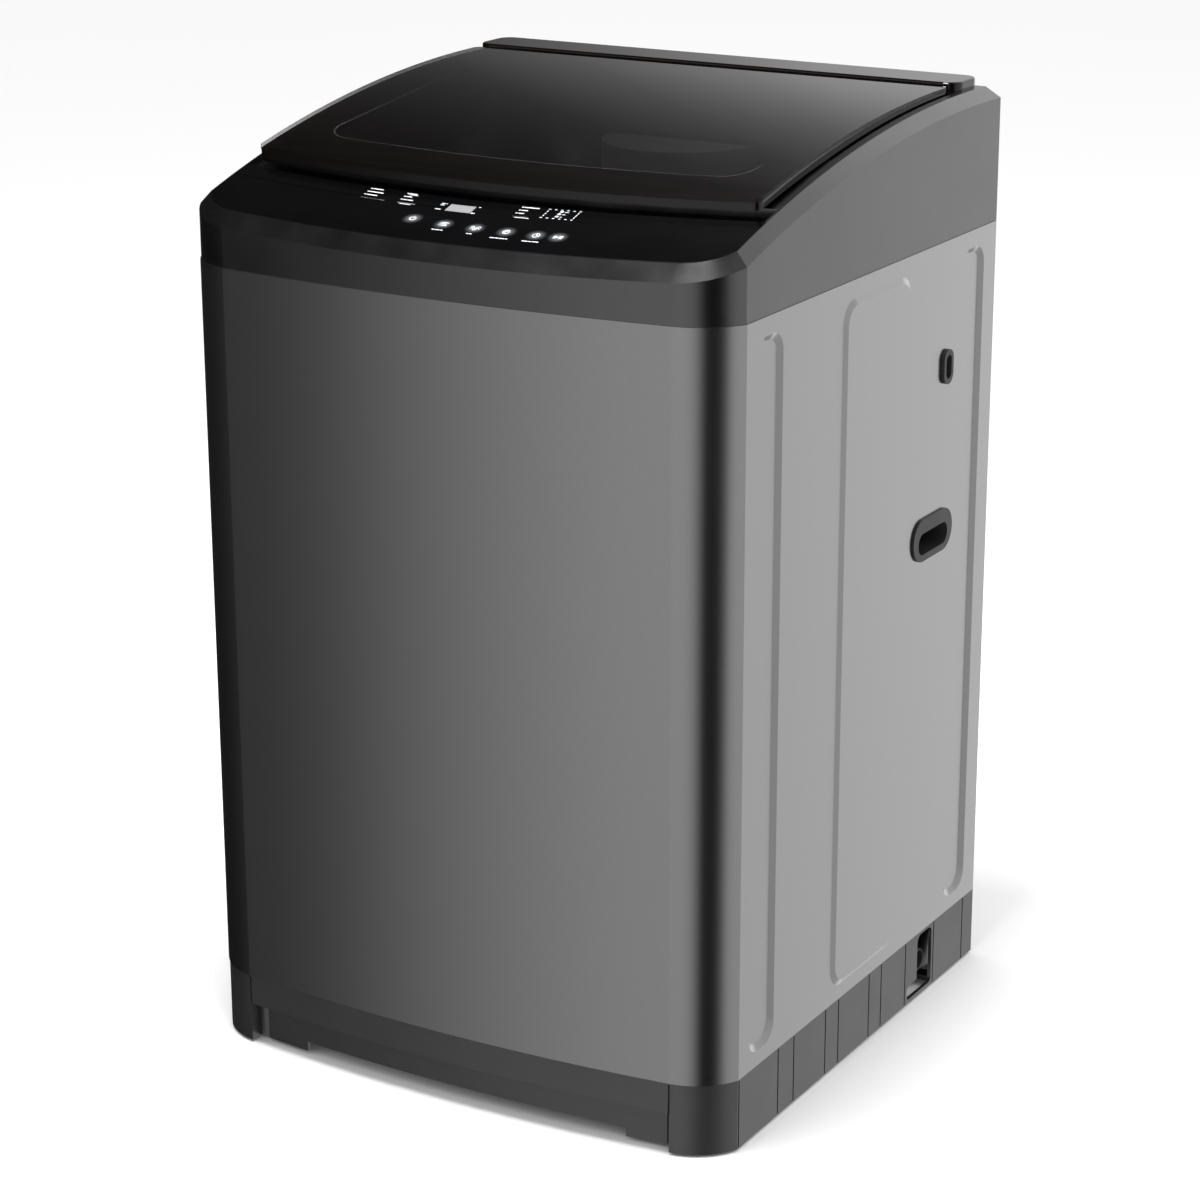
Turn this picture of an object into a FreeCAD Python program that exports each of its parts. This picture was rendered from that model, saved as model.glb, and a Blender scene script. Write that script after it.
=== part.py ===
import FreeCAD, Part
import math
import os

V = FreeCAD.Vector

# ---------------------------------------------------------------- driving dimensions (mm)
# Origin: on the floor, under the middle of the machine.  +Z up, the front faces -Y.

BODY_WIDTH = 640.0          # between the flat side panels
BODY_DEPTH = 634.0          # front bow's crown to the rear plane
BODY_HEIGHT = 1023.0        # floor to the rear deck
BOW_RADIUS = 2201.0         # of the bowed front, seen from above
BOW_HALF = 262.0            # half the width of the bow, where the corner rounding begins
CORNER_SETBACK = 58.0       # crown of the bow to the crease where the corner meets the side

BASE_BOTTOM = 3.0
BASE_TOP = 81.0
CABINET_TOP = 866.0
SHEET = 0.8                 # cabinet steel
COVER_STEP = 1.0            # how far the cabinet stands proud of base and top cover
REAR_SHEET_Y = BODY_DEPTH / 2 - 2.0      # outer face of the cabinet's rear flanges
REAR_FLANGE = 18.0          # width of those flanges

# Side embossings: y range, z range and height above the side plane (negative is sunk).
EMBOSS_BOTTOM = 98.0
EMBOSS_TOP = 847.0
EMBOSS_DEPTH = 4.0
PAD_HEIGHT = 3.0
EMBOSS_SLOPE = 6.0
FRONT_CHANNEL_Y = (-240.0, -184.0)
MIDDLE_PAD_Y = (-54.5, 103.0)
REAR_CHANNEL_Y = (228.0, 285.0)

# Top cover.  Heights of the two arcs at the front crown, the middle and the rear plane.
RIM_ARC = (901.6, 980.5, 999.3)          # lower line of the chamfer, along the side
LID_ARC = (936.0, 1005.9, 1017.9)        # top of the lid's glass
COVER_RISE = 12.5           # rim line up to the cover's top surface
COVER_WALL = 3.0
COVER_TOP_WALL = 6.0
SKIRT_DEPTH = 10.0          # part of the cover that reaches into the cabinet

LID_HALF_WIDTH = 295.0
LID_FRONT = 108.0           # crown of the bow to the lid's front edge
LID_REAR_Y = 236.0
LID_CORNER = 9.0
GLASS = 4.0
LID_THICKNESS = 12.0
LID_GAP = 2.0               # lid to the seat below it
WINDOW_HALF_WIDTH = 250.0
WINDOW_FRONT = 166.0        # crown of the bow to the window's front edge
WINDOW_REAR_Y = 191.0
WINDOW_REAR_RADIUS = 1736.0
WINDOW_CORNER = 34.0
HINGE_BACK = 4.0            # hinge axis in front of the lid's rear edge
HINGE_DROP = 8.5            # hinge axis below the glass's top
HINGE_PIN_R = 2.5
HINGE_PIN_X = (238.0, 274.0)
KNUCKLE_X = (250.0, 262.0)
RUNNING_FIT = 0.06

DECK_HALF_WIDTH = 300.0
DECK_GAP = 7.0              # lid's rear edge to the deck
DECK_REAR_INSET = 13.5
DECK_CORNER = 16.0
DECK_WALL = 3.0

PANEL_THICKNESS = 3.4
PANEL_REAR = 99.0           # crown of the bow to the control panel's rear edge
PANEL_LEDGE = 6.0
PANEL_PROUD = 0.5
RECESS_DEPTH = 8.5          # finger recess in front of the lid
RECESS_REAR = 128.0         # crown of the bow to the back of the finger recess
DISPLAY_X = (-29.0, 1.0)
DISPLAY_BACK = (73.0, 87.0)              # from the crown of the bow
KEY_BACK = 47.0
KEY_X = (-52.0, -13.0, 24.0, 60.0, 94.0, 118.0)
KEY_SPRING_R = 4.0
BOARD_UNDER = 4.0           # above the rim line, like the two below
BOARD = 1.6
BOARD_BACK = (30.0, 82.0)
LOCK_X = 150.0
LOCK_HALF = 24.0
LOCK_BOLT_R = 2.2

OPENING_HALF_WIDTH = 258.0
OPENING_FRONT_Y = -160.0
OPENING_REAR_Y = 196.0
OPENING_CORNER = 110.0
COLLAR_BOTTOM = 895.0

# Tub, drum and drive, all about the vertical axis through the origin.
TUB_R = 285.0
TUB_WALL = 3.5
TUB_BOTTOM = 240.0
TUB_FLOOR = 6.0
TUB_TOP = 868.0
TUB_COVER_TOP = 886.0
TUB_COVER_HOLE_R = 242.0
TRAVEL_DOWN = 25.0
TRAVEL_UP = 5.0
DRUM_R = 256.0
DRUM_SHEET = 0.8
DRUM_BOTTOM = 290.0
DRUM_TOP = 835.0
RING_R = 262.0
RING_HOLE_R = 237.0
RING_BOTTOM = 828.0
RING_TOP = 880.0
DRUM_FLOOR_BOTTOM = 285.0
DRUM_FLOOR_TOP = 303.0
PULSATOR_R = 190.0
PULSATOR_BOTTOM = 306.0
PULSATOR_RIM = 6.0
PULSATOR_CROWN = 30.0
FIN_COUNT = 6
SPIN_TUBE_R = 17.5
SPIN_TUBE_BOTTOM = 145.0
SHAFT_R = 8.5
SHAFT_BOTTOM = 78.0
BEARING_R = 31.0
BARREL_R = 36.0
BARREL_BOTTOM = 174.0
HOUSING_PLATE = 6.0
HOUSING_PLATE_R = 150.0
STATOR = (70.0, 108.0, 100.0, 135.0)     # inner and outer radius, bottom and top
STATOR_LEG_R = 89.0
ROTOR_GAP = 4.0
ROTOR_WALL = 5.0
ROTOR_BOTTOM = 88.0
ROTOR_HUB_R = 22.0
ROTOR_HUB_TOP = 143.5
COUPLER_BOTTOM = 152.0
COUPLER_TOP = 170.0
COUPLER_R = 26.0
COUPLER_FLANGE_R = 32.0
COUPLER_FLANGE = 3.0
LEVER_PIVOT_X = 75.0
LEVER_Z = 161.0
LEVER_THICKNESS = 4.0

# Suspension.
ROD_XY = 232.0
ROD_R = 4.0
ROD_TOP = 842.0
ROD_BOTTOM = 292.0
SPRING_BOTTOM = 300.0
LUG_BOTTOM = 404.0
LUG_TOP = 430.0
LUG_R = 20.0
CUP_R = 15.0
SPRING_WIRE = 3.0
SPRING_R = 13.0
SPRING_TURNS = 8

# Feet.
FOOT_XY = (262.0, 255.0)
FOOT_DISC_R = 22.0
FOOT_DISC = 9.0
FOOT_STEM_R = 5.0
FOOT_STEM_TOP = 62.0
FOOT_RECESS = 25.0
NUT = 5.0
FOOT_TRAVEL = 12.0

# Side fittings.
GRIP_Y = 169.0
GRIP_Z = 548.0
GRIP_OUTER = (96.5, 47.0)
GRIP_MOUTH = (72.5, 24.0)
GRIP_MOUTH_DROP = 4.0
GRIP_RIM = 2.5
GRIP_DEPTH = 32.0
GRIP_WALL = 3.0
CUTOUT_FIT = 0.3            # round the fittings in the side panels
BUSH_Y = 195.0
BUSH_Z = 729.0
BUSH_OUTER = (23.0, 38.0)
BUSH_HOLE = (13.0, 26.0)
BUSH_RIM = 3.5
BUSH_WALL = 2.0

# Base details.
BASE_WALL = 4.0
FASCIA_BOTTOM = 47.0
PLINTH_SETBACK = 12.0
PLINTH_LOW = 5.0
PLINTH_HIGH = 15.7
GROOVES_Y = (-256.0, -170.0, -134.5, -61.0, -30.0, 44.5, 75.0, 137.0, 210.5, 288.5)
HOSE_Y = (168.0, 205.5)
HOSE_Z = (7.5, 76.5)
DRAIN_Y = 186.0
DRAIN_Z = 40.0
DRAIN_R = 13.0
SUMP_X = 200.0
SUMP_Y = 178.0
BELLOWS_BOTTOM = 88.0

# Detergent drawer and water side.
DRAWER_HALF_WIDTH = 88.5
DRAWER_TOP = 947.0
DRAWER_HEIGHT = 38.0
DRAWER_WALL = 2.5
DRAWER_REAR_Y = 280.0
DRAWER_TRAVEL = 70.0
DRAWER_CLEARANCE = 1.5
INLET_X = -155.0
INLET_Z = 948.0
INLET_THREAD_R = 13.2
INLET_NECK_R = 12.0         # behind the thread, through the pocket's wall
INLET_POCKET = 24.0         # depth of the pocket from the rear plane
PRESSURE_X = 150.0
PRESSURE_Y = 262.0

SENSOR_BOTTOM = CABINET_TOP + 40.0
TRAP_TOP = 268.0            # top of the air trap on the tub's side
PUMP_FLOOR = 12.0

# Rear panel.
ACCESS_HALF = 150.0
ACCESS_Z = (130.0, 420.0)
ACCESS_LAP = 12.0           # the access cover's overlap round its hole
VENT_COUNT = 6
VENT_PITCH = 30.0
RIB_HALF = 230.0
RIB_Z = (500.0, 620.0, 740.0)
RIB_WIDTH = 22.0
REAR_SCREW_Z = (120.0, 297.0, 474.0, 651.0, 828.0)
SCREW_HEAD_R = 4.5
SCREW_HEAD = 2.0
SCREW_SHANK_R = 1.9
SCREW_SHANK = 10.0

FAR = 900.0                 # longer than anything it cuts

HALF_W = BODY_WIDTH / 2
CROWN_Y = -BODY_DEPTH / 2
REAR_Y = BODY_DEPTH / 2
HINGE_Y = LID_REAR_Y - HINGE_BACK
SEAT = LID_THICKNESS + LID_GAP
PANEL_TOP = COVER_RISE + PANEL_PROUD
PANEL_UNDER = PANEL_TOP - PANEL_THICKNESS
PANEL_INSET = COVER_STEP + COVER_RISE + 0.8
TRAY_REAR = PANEL_REAR - PANEL_LEDGE - 4.5


# ---------------------------------------------------------------- plain shapes

def box(x0, x1, y0, y1, z0, z1):
    return Part.makeBox(x1 - x0, y1 - y0, z1 - z0, V(x0, y0, z0))


def disc(x, y, z0, z1, radius):
    return Part.makeCylinder(radius, z1 - z0, V(x, y, z0))


def tube(x, y, z0, z1, outer, inner):
    return disc(x, y, z0, z1, outer).cut(disc(x, y, z0 - 1, z1 + 1, inner))


def rod_x(x0, x1, y, z, radius):
    return Part.makeCylinder(radius, x1 - x0, V(x0, y, z), V(1, 0, 0))


def rod_y(y0, y1, x, z, radius):
    return Part.makeCylinder(radius, y1 - y0, V(x, y0, z), V(0, 1, 0))


def fused(shapes):
    whole = shapes[0]
    for shape in shapes[1:]:
        whole = whole.fuse(shape)
    return whole.removeSplitter()


def mirrored(shape):
    return shape.mirror(V(0, 0, 0), V(1, 0, 0))


def revolved(points):
    """A solid of revolution about Z from its (radius, z) outline."""
    wire = Part.makePolygon([V(r, 0, z) for r, z in points] + [V(points[0][0], 0, points[0][1])])
    return Part.Face(wire).revolve(V(0, 0, 0), V(0, 0, 1), 360)


def rounded_outline(u0, u1, v0, v1, radius, place):
    """A closed wire, a rectangle with round corners; place(u, v) gives its points."""
    k = radius * (1 - math.sqrt(0.5))
    sides = [((u0 + radius, v0), (u1 - radius, v0)), ((u1, v0 + radius), (u1, v1 - radius)),
             ((u1 - radius, v1), (u0 + radius, v1)), ((u0, v1 - radius), (u0, v0 + radius))]
    corners = [(u1 - k, v0 + k), (u1 - k, v1 - k), (u0 + k, v1 - k), (u0 + k, v0 + k)]
    edges = []
    for i, (start, end) in enumerate(sides):
        if math.dist(start, end) > 1e-6:
            edges.append(Part.LineSegment(place(*start), place(*end)).toShape())
        following = sides[(i + 1) % 4][0]
        edges.append(Part.Arc(place(*end), place(*corners[i]), place(*following)).toShape())
    return Part.Wire(edges)


def slab_xy(x0, x1, y0, y1, z0, z1, radius):
    """A plate with round corners seen from above."""
    wire = rounded_outline(x0, x1, y0, y1, radius, lambda u, v: V(u, v, z0))
    return Part.Face(wire).extrude(V(0, 0, z1 - z0))


def slab_yz(x0, x1, y, z, width, height, radius):
    """A plate with round corners seen from the side."""
    wire = rounded_outline(y - width / 2, y + width / 2, z - height / 2, z + height / 2, radius,
                           lambda u, v: V(x0, u, v))
    return Part.Face(wire).extrude(V(x1 - x0, 0, 0))


def slab_xz(x0, x1, z0, z1, y0, y1, radius):
    """A plate with round corners seen from behind."""
    wire = rounded_outline(x0, x1, z0, z1, radius, lambda u, v: V(u, y0, v))
    return Part.Face(wire).extrude(V(0, y1 - y0, 0))


# ---------------------------------------------------------------- shared body surfaces

def bow_y(x, back):
    """Y of a line that follows the bow, a distance back from its crown."""
    return CROWN_Y + back + BOW_RADIUS - math.sqrt(BOW_RADIUS ** 2 - x ** 2)


def plan_wire():
    """Outline of the cabinet seen from above."""
    rear = REAR_Y + COVER_STEP
    start = V(BOW_HALF, bow_y(BOW_HALF, 0), 0)
    crease = V(HALF_W, CROWN_Y + CORNER_SETBACK, 0)
    chord = crease - start
    turn = math.atan2(chord.y, chord.x) - math.asin(BOW_HALF / BOW_RADIUS)
    outward = V(chord.y, -chord.x, 0).normalize()
    middle = start + chord * 0.5 + outward * (chord.Length / 2 * math.tan(turn / 2))

    def flip(p):
        return V(-p.x, p.y, 0)

    rear_right = V(HALF_W, rear, 0)
    return Part.Wire([
        Part.Arc(flip(start), V(0, CROWN_Y, 0), start).toShape(),
        Part.Arc(start, middle, crease).toShape(),
        Part.LineSegment(crease, rear_right).toShape(),
        Part.LineSegment(rear_right, flip(rear_right)).toShape(),
        Part.LineSegment(flip(rear_right), flip(crease)).toShape(),
        Part.Arc(flip(crease), flip(middle), flip(start)).toShape(),
    ])


def plan_prism(inset, z0, z1):
    """The cabinet's outline, drawn in by inset, between two heights."""
    wire = plan_wire()
    if inset > 0:
        wire = wire.makeOffset2D(-inset)
    return Part.Face(wire).extrude(V(0, 0, z1 - z0)).translated(V(0, 0, z0))


def arc_z(arc, y):
    """Height of a front-to-rear arc at y."""
    front, middle, rear = arc
    half = REAR_Y
    # circle through the three points
    d = 2 * half * (front + rear - 2 * middle)
    front_square = half ** 2 + front ** 2
    rear_square = half ** 2 + rear ** 2
    cy = (front_square * (middle - rear) + middle ** 2 * (rear - front) + rear_square * (front - middle)) / d
    cz = half * (front_square + rear_square - 2 * middle ** 2) / d
    radius = math.hypot(half - cy, rear - cz)
    return cz + math.sqrt(radius ** 2 - (y - cy) ** 2)


def under_arc(arc, lift):
    """Everything below a front-to-rear arc, raised by lift."""
    y0, y1 = CROWN_Y, REAR_Y
    front = V(-FAR, y0, arc[0] + lift)
    middle = V(-FAR, 0, arc[1] + lift)
    rear = V(-FAR, y1, arc[2] + lift)
    floor_front = V(-FAR, y0, 0)
    floor_rear = V(-FAR, y1, 0)
    wire = Part.Wire([
        Part.Arc(front, middle, rear).toShape(),
        Part.LineSegment(rear, floor_rear).toShape(),
        Part.LineSegment(floor_rear, floor_front).toShape(),
        Part.LineSegment(floor_front, front).toShape(),
    ])
    return Part.Face(wire).extrude(V(2 * FAR, 0, 0))


def arc_layer(arc, low, high):
    """The layer between two raised copies of an arc."""
    return under_arc(arc, high).cut(under_arc(arc, low))


def bowed_prism(half_width, back, rear_y, radius, grow=0.0, rear_radius=None):
    """Full-height prism with a bowed front edge and round corners."""
    x = half_width + grow
    front = CROWN_Y + back - grow
    rear = rear_y + grow
    drop = BOW_RADIUS - math.sqrt(BOW_RADIUS ** 2 - x ** 2)
    rise = 0.0
    if rear_radius:
        rise = rear_radius - math.sqrt(rear_radius ** 2 - x ** 2)
    a, b = V(-x, front + drop, 0), V(x, front + drop, 0)
    c, d = V(x, rear - rise, 0), V(-x, rear - rise, 0)
    rear_edge = Part.LineSegment(c, d)
    if rear_radius:
        rear_edge = Part.Arc(c, V(0, rear, 0), d)
    wire = Part.Wire([
        Part.Arc(a, V(0, front, 0), b).toShape(),
        Part.LineSegment(b, c).toShape(),
        rear_edge.toShape(),
        Part.LineSegment(d, a).toShape(),
    ])
    solid = Part.Face(wire).extrude(V(0, 0, 2 * FAR))
    uprights = [e for e in solid.Edges if abs(e.tangentAt(e.FirstParameter).z) > 0.99]
    return solid.makeFillet(radius, uprights)


def behind_bow(back):
    """Everything behind a line that follows the bow."""
    x = HALF_W + 40
    y = bow_y(x, back)
    wire = Part.Wire([
        Part.Arc(V(-x, y, 0), V(0, CROWN_Y + back, 0), V(x, y, 0)).toShape(),
        Part.LineSegment(V(x, y, 0), V(x, FAR, 0)).toShape(),
        Part.LineSegment(V(x, FAR, 0), V(-x, FAR, 0)).toShape(),
        Part.LineSegment(V(-x, FAR, 0), V(-x, y, 0)).toShape(),
    ])
    return Part.Face(wire).extrude(V(0, 0, 2 * FAR))


# ---------------------------------------------------------------- cabinet

def embossing(x_out, height, y_range):
    """A tapered block between the side plane and the embossing's flat."""
    y0, y1 = y_range
    radius = min(24.0, (y1 - y0) / 2 - EMBOSS_SLOPE - 1)

    def loop(x, inset):
        return rounded_outline(y0 + inset, y1 - inset, EMBOSS_BOTTOM + inset, EMBOSS_TOP - inset,
                               radius - inset / 2, lambda u, v: V(x, u, v))

    return Part.makeLoft([loop(x_out, 0), loop(x_out + height, EMBOSS_SLOPE)], True, True)


def embossed(solid, x_side):
    """Sinks the two channels and raises the pad on both sides of a full block."""
    for y_range in (FRONT_CHANNEL_Y, REAR_CHANNEL_Y):
        channel = embossing(x_side, -EMBOSS_DEPTH, y_range)
        solid = solid.cut(channel).cut(mirrored(channel))
    pad = embossing(x_side, PAD_HEIGHT, MIDDLE_PAD_Y)
    return solid.fuse(pad).fuse(mirrored(pad))


def grip_slab(x0, x1, grow):
    """A slab with the outline of the hand grip's mouth, widened by grow all round."""
    width, height = GRIP_MOUTH[0] + 2 * grow, GRIP_MOUTH[1] + 2 * grow
    return slab_yz(x0, x1, GRIP_Y, GRIP_Z - GRIP_MOUTH_DROP, width, height, height / 2 - 0.5)


def bush_slab(x0, x1, grow):
    """A slab with the outline of the cord bush's hole, widened by grow all round."""
    width, height = BUSH_HOLE[0] + 2 * grow, BUSH_HOLE[1] + 2 * grow
    return slab_yz(x0, x1, BUSH_Y, BUSH_Z, width, height, width / 2 - 0.1)


def cabinet_wrap():
    outer = embossed(plan_prism(0, BASE_TOP, CABINET_TOP), HALF_W)
    inner = embossed(plan_prism(SHEET, BASE_TOP - 1, CABINET_TOP + 1), HALF_W - SHEET)
    inner = inner.cut(box(-FAR, FAR, REAR_SHEET_Y - SHEET, FAR, 0, FAR * 2))
    wrap = outer.cut(inner)
    wrap = wrap.cut(box(-FAR, FAR, REAR_SHEET_Y, FAR, 0, FAR * 2))
    flange_x = HALF_W - REAR_FLANGE
    wrap = wrap.cut(box(-flange_x, flange_x, REAR_Y - 30, FAR, 0, FAR * 2))
    cup = grip_slab(HALF_W - 2 * GRIP_DEPTH, FAR, GRIP_WALL + CUTOUT_FIT)
    return wrap.cut(cup).cut(mirrored(cup)).cut(bush_slab(HALF_W - 40, FAR, BUSH_WALL + CUTOUT_FIT))


def rear_panel():
    y1 = REAR_SHEET_Y - SHEET
    half = HALF_W - SHEET - 0.5
    panel = box(-half, half, y1 - SHEET, y1, BASE_TOP, CABINET_TOP)
    hole = slab_xz(-ACCESS_HALF, ACCESS_HALF, ACCESS_Z[0], ACCESS_Z[1], y1 - 5, y1 + 5, 20)
    panel = panel.cut(hole)
    radius = RIB_WIDTH / 2 - 0.5
    for z in RIB_Z:
        rib = slab_xz(-RIB_HALF, RIB_HALF, z, z + RIB_WIDTH, y1 - 4, y1, radius)
        groove = slab_xz(-RIB_HALF + 1, RIB_HALF - 1, z + 1, z + RIB_WIDTH - 1, y1 - 3, y1 + 1, radius - 1)
        panel = panel.fuse(rib).cut(groove)
    return panel


def rear_access_cover():
    y1 = REAR_SHEET_Y - SHEET
    half = ACCESS_HALF + ACCESS_LAP
    plate = slab_xz(-half, half, ACCESS_Z[0] - ACCESS_LAP, ACCESS_Z[1] + ACCESS_LAP, y1, y1 + SHEET, 28)
    for i in range(VENT_COUNT):
        z = ACCESS_Z[0] + (i + 2) * VENT_PITCH
        plate = plate.cut(slab_xz(-80, 80, z, z + 5, y1 - 1, y1 + 3, 2.4))
    return plate


def rear_screw_places():
    """Screws down both flanges, and one at each corner of the access cover."""
    flange_x = HALF_W - REAR_FLANGE / 2
    cover_x = ACCESS_HALF + ACCESS_LAP / 2
    places = [(side * flange_x, z) for side in (-1, 1) for z in REAR_SCREW_Z]
    return places + [(side * cover_x, z) for side in (-1, 1) for z in ACCESS_Z]


def rear_screws():
    y1 = REAR_SHEET_Y
    screws = []
    for x, z in rear_screw_places():
        head = rod_y(y1, y1 + SCREW_HEAD, x, z, SCREW_HEAD_R)
        screws.append(head.fuse(rod_y(y1 - SCREW_SHANK, y1 + SCREW_HEAD / 2, x, z, SCREW_SHANK_R)))
    return Part.Compound(screws)


def screw_holes():
    """Clearance for the shanks of the rear screws."""
    return Part.Compound([rod_y(REAR_Y - 40, REAR_Y + 5, x, z, SCREW_SHANK_R + 0.1)
                          for x, z in rear_screw_places()])


def corner_brackets():
    """Pressed plates across the cabinet's corners; the suspension rods hang from them."""
    plate = plan_prism(SHEET + EMBOSS_DEPTH + 1, ROD_TOP - 6, ROD_TOP - 2)
    reach = (ROD_XY * math.sqrt(2)) - 22
    inner = Part.makeBox(2 * reach, 2 * reach, 20, V(-reach, -reach, ROD_TOP - 12))
    inner.rotate(V(0, 0, 0), V(0, 0, 1), 45)
    plate = plate.cut(inner).cut(box(-FAR, FAR, REAR_SHEET_Y - 2 * SHEET - 4, FAR, 0, FAR * 2))
    for sx in (-1, 1):
        for sy in (-1, 1):
            plate = plate.cut(disc(sx * ROD_XY, sy * ROD_XY, ROD_TOP - 10, ROD_TOP, ROD_R + 0.5))
    return plate


def side_grip():
    """Recessed hand grip of the right side."""
    rim = slab_yz(HALF_W, HALF_W + GRIP_RIM, GRIP_Y, GRIP_Z, GRIP_OUTER[0], GRIP_OUTER[1],
                  GRIP_OUTER[1] / 2 - 0.5)
    cup = grip_slab(HALF_W - GRIP_DEPTH, HALF_W + 1, GRIP_WALL)
    hollow = grip_slab(HALF_W - GRIP_DEPTH + GRIP_WALL, FAR, 0)
    return rim.fuse(cup).cut(hollow).removeSplitter()


def cord_outlet_bush():
    flange = slab_yz(HALF_W, HALF_W + BUSH_RIM, BUSH_Y, BUSH_Z, BUSH_OUTER[0], BUSH_OUTER[1],
                     BUSH_OUTER[0] / 2 - 0.1)
    neck = bush_slab(HALF_W - 12, HALF_W + 1, BUSH_WALL)
    return flange.fuse(neck).cut(bush_slab(HALF_W - 20, FAR, 0)).removeSplitter()


# ---------------------------------------------------------------- base and feet

def foot_places():
    return [(sx * FOOT_XY[0], sy * FOOT_XY[1]) for sy in (-1, 1) for sx in (-1, 1)]


def base_frame():
    inset = COVER_STEP
    wall = plan_prism(inset, BASE_BOTTOM, BASE_TOP)
    wall = wall.cut(plan_prism(inset + BASE_WALL, 0, BASE_TOP - BASE_WALL))
    wall = wall.cut(plan_prism(inset + 48, 0, FAR))
    body = plan_prism(inset, BASE_BOTTOM, BASE_TOP - 1)
    # plinth behind the front fascia
    plinth = plan_prism(inset + PLINTH_SETBACK, BASE_BOTTOM, BASE_TOP - 1)
    plinth = plinth.cut(plan_prism(inset + PLINTH_SETBACK + BASE_WALL, 0, FAR))
    plinth = plinth.common(box(-BOW_HALF + 15, BOW_HALF - 8, CROWN_Y - 1, CROWN_Y + 60, PLINTH_LOW, FAR))
    plinth = plinth.cut(box(-191, 208, CROWN_Y - 1, CROWN_Y + 60, 0, PLINTH_HIGH))
    shelf = body.cut(plan_prism(inset + PLINTH_SETBACK + BASE_WALL, 0, FAR))
    shelf = shelf.common(box(-BOW_HALF, BOW_HALF, CROWN_Y - 1, CROWN_Y + 60, FASCIA_BOTTOM,
                             FASCIA_BOTTOM + BASE_WALL))
    recess = box(-BOW_HALF, BOW_HALF, CROWN_Y - 5, CROWN_Y + 60, 0, FASCIA_BOTTOM)
    wall = wall.cut(recess)
    parts = [wall, plinth, shelf]
    for sx in (-1, 1):
        x0, x1 = sorted((sx * BOW_HALF, sx * (BOW_HALF + BASE_WALL)))
        parts.append(box(x0, x1, CROWN_Y, CROWN_Y + 46, BASE_BOTTOM, BASE_TOP - 1).common(body))
    for x, y in foot_places():
        parts.append(disc(x, y, BASE_BOTTOM, BASE_TOP - 1, FOOT_DISC_R + 8).common(body))
    # shelf for the drain pump
    parts.append(box(SUMP_X - 44, HALF_W - inset - 1, SUMP_Y - 44, SUMP_Y + 44, PUMP_FLOOR - 4, PUMP_FLOOR))
    frame = fused(parts)
    # joint lines between the fascia and the corner blocks
    for side in (-1, 1):
        x = side * BOW_HALF
        y1 = bow_y(BOW_HALF, inset + 1.8)
        frame = frame.cut(box(x - 1, x + 1, CROWN_Y, y1, FASCIA_BOTTOM - 1, BASE_TOP - 2))
    for x, y in foot_places():
        frame = frame.cut(disc(x, y, 0, FOOT_RECESS, FOOT_DISC_R + 3))
        frame = frame.cut(disc(x, y, 0, BASE_TOP + 1, FOOT_STEM_R + RUNNING_FIT))
    for y in GROOVES_Y:
        for side in (-1, 1):
            x0, x1 = sorted((side * (HALF_W - inset - 1.5), side * HALF_W))
            frame = frame.cut(box(x0, x1, y - 1.1, y + 1.1, BASE_BOTTOM - 1, BASE_TOP - 2))
    return frame.cut(hose_opening())


def hose_opening():
    """Boot-shaped opening for the drain hose in the right side."""
    x0 = HALF_W - COVER_STEP - BASE_WALL - 12
    width, height = HOSE_Y[1] - HOSE_Y[0], HOSE_Z[1] - HOSE_Z[0]
    tall = slab_yz(x0, FAR, HOSE_Y[0] + width / 2, HOSE_Z[0] + height / 2, width, height, 9)
    toe, toe_height = 25.0, 17.0
    low = slab_yz(x0, FAR, HOSE_Y[0] + (width - toe) / 2, HOSE_Z[0] + toe_height / 2, width + toe,
                  toe_height, 5)
    return tall.fuse(low)


def foot(x, y):
    """Levelling foot: a disc on a threaded stem."""
    pad = disc(x, y, 0, FOOT_DISC, FOOT_DISC_R)
    pad = pad.makeFillet(2, [e for e in pad.Edges if e.Closed])
    return pad.fuse(disc(x, y, FOOT_DISC - 1, FOOT_STEM_TOP, FOOT_STEM_R)).removeSplitter()


def lock_nut(x, y):
    z1 = FOOT_RECESS
    corners = [V(x + 9 * math.cos(math.radians(60 * i)), y + 9 * math.sin(math.radians(60 * i)), z1 - NUT)
               for i in range(6)]
    nut = Part.Face(Part.makePolygon(corners + corners[:1])).extrude(V(0, 0, NUT))
    return nut.cut(disc(x, y, 0, BASE_TOP, FOOT_STEM_R + RUNNING_FIT))


# ---------------------------------------------------------------- top cover and control panel

def arched_block(inset, z0, lift):
    """The outline drawn in by inset, under the arched rim surface raised by lift."""
    return plan_prism(inset, z0, FAR * 1.2).common(under_arc(RIM_ARC, lift))


def arched_top(block):
    """The arched top face of such a block."""
    return max((f for f in block.Faces if f.Area > 1e5), key=lambda f: f.CenterOfMass.z)


def chamfered_cover(inset, z0, lift, size):
    """The cover's block: outline drawn in by inset, arched top, chamfered all round."""
    low = arched_block(inset, z0, lift - size)
    high = arched_block(inset + size, z0, lift)
    low_top, high_top = arched_top(low), arched_top(high)
    sides = []
    for edge in low_top.OuterWire.Edges:
        middle = edge.CenterOfMass
        match = min(high_top.OuterWire.Edges, key=lambda e: e.CenterOfMass.distanceToPoint(middle))
        sides.append(Part.makeRuledSurface(edge, match))
    shell = Part.Shell(sides + [low_top, high_top])
    shell.sewShape()
    ring = Part.Solid(shell)
    if ring.Volume < 0:
        ring.reverse()
    return low.fuse(ring).removeSplitter()


def lid_outline(grow=0.0):
    return bowed_prism(LID_HALF_WIDTH, LID_FRONT, LID_REAR_Y, LID_CORNER, grow)


def window_outline(grow=0.0):
    return bowed_prism(WINDOW_HALF_WIDTH, WINDOW_FRONT, WINDOW_REAR_Y, WINDOW_CORNER, grow,
                       WINDOW_REAR_RADIUS)


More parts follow.
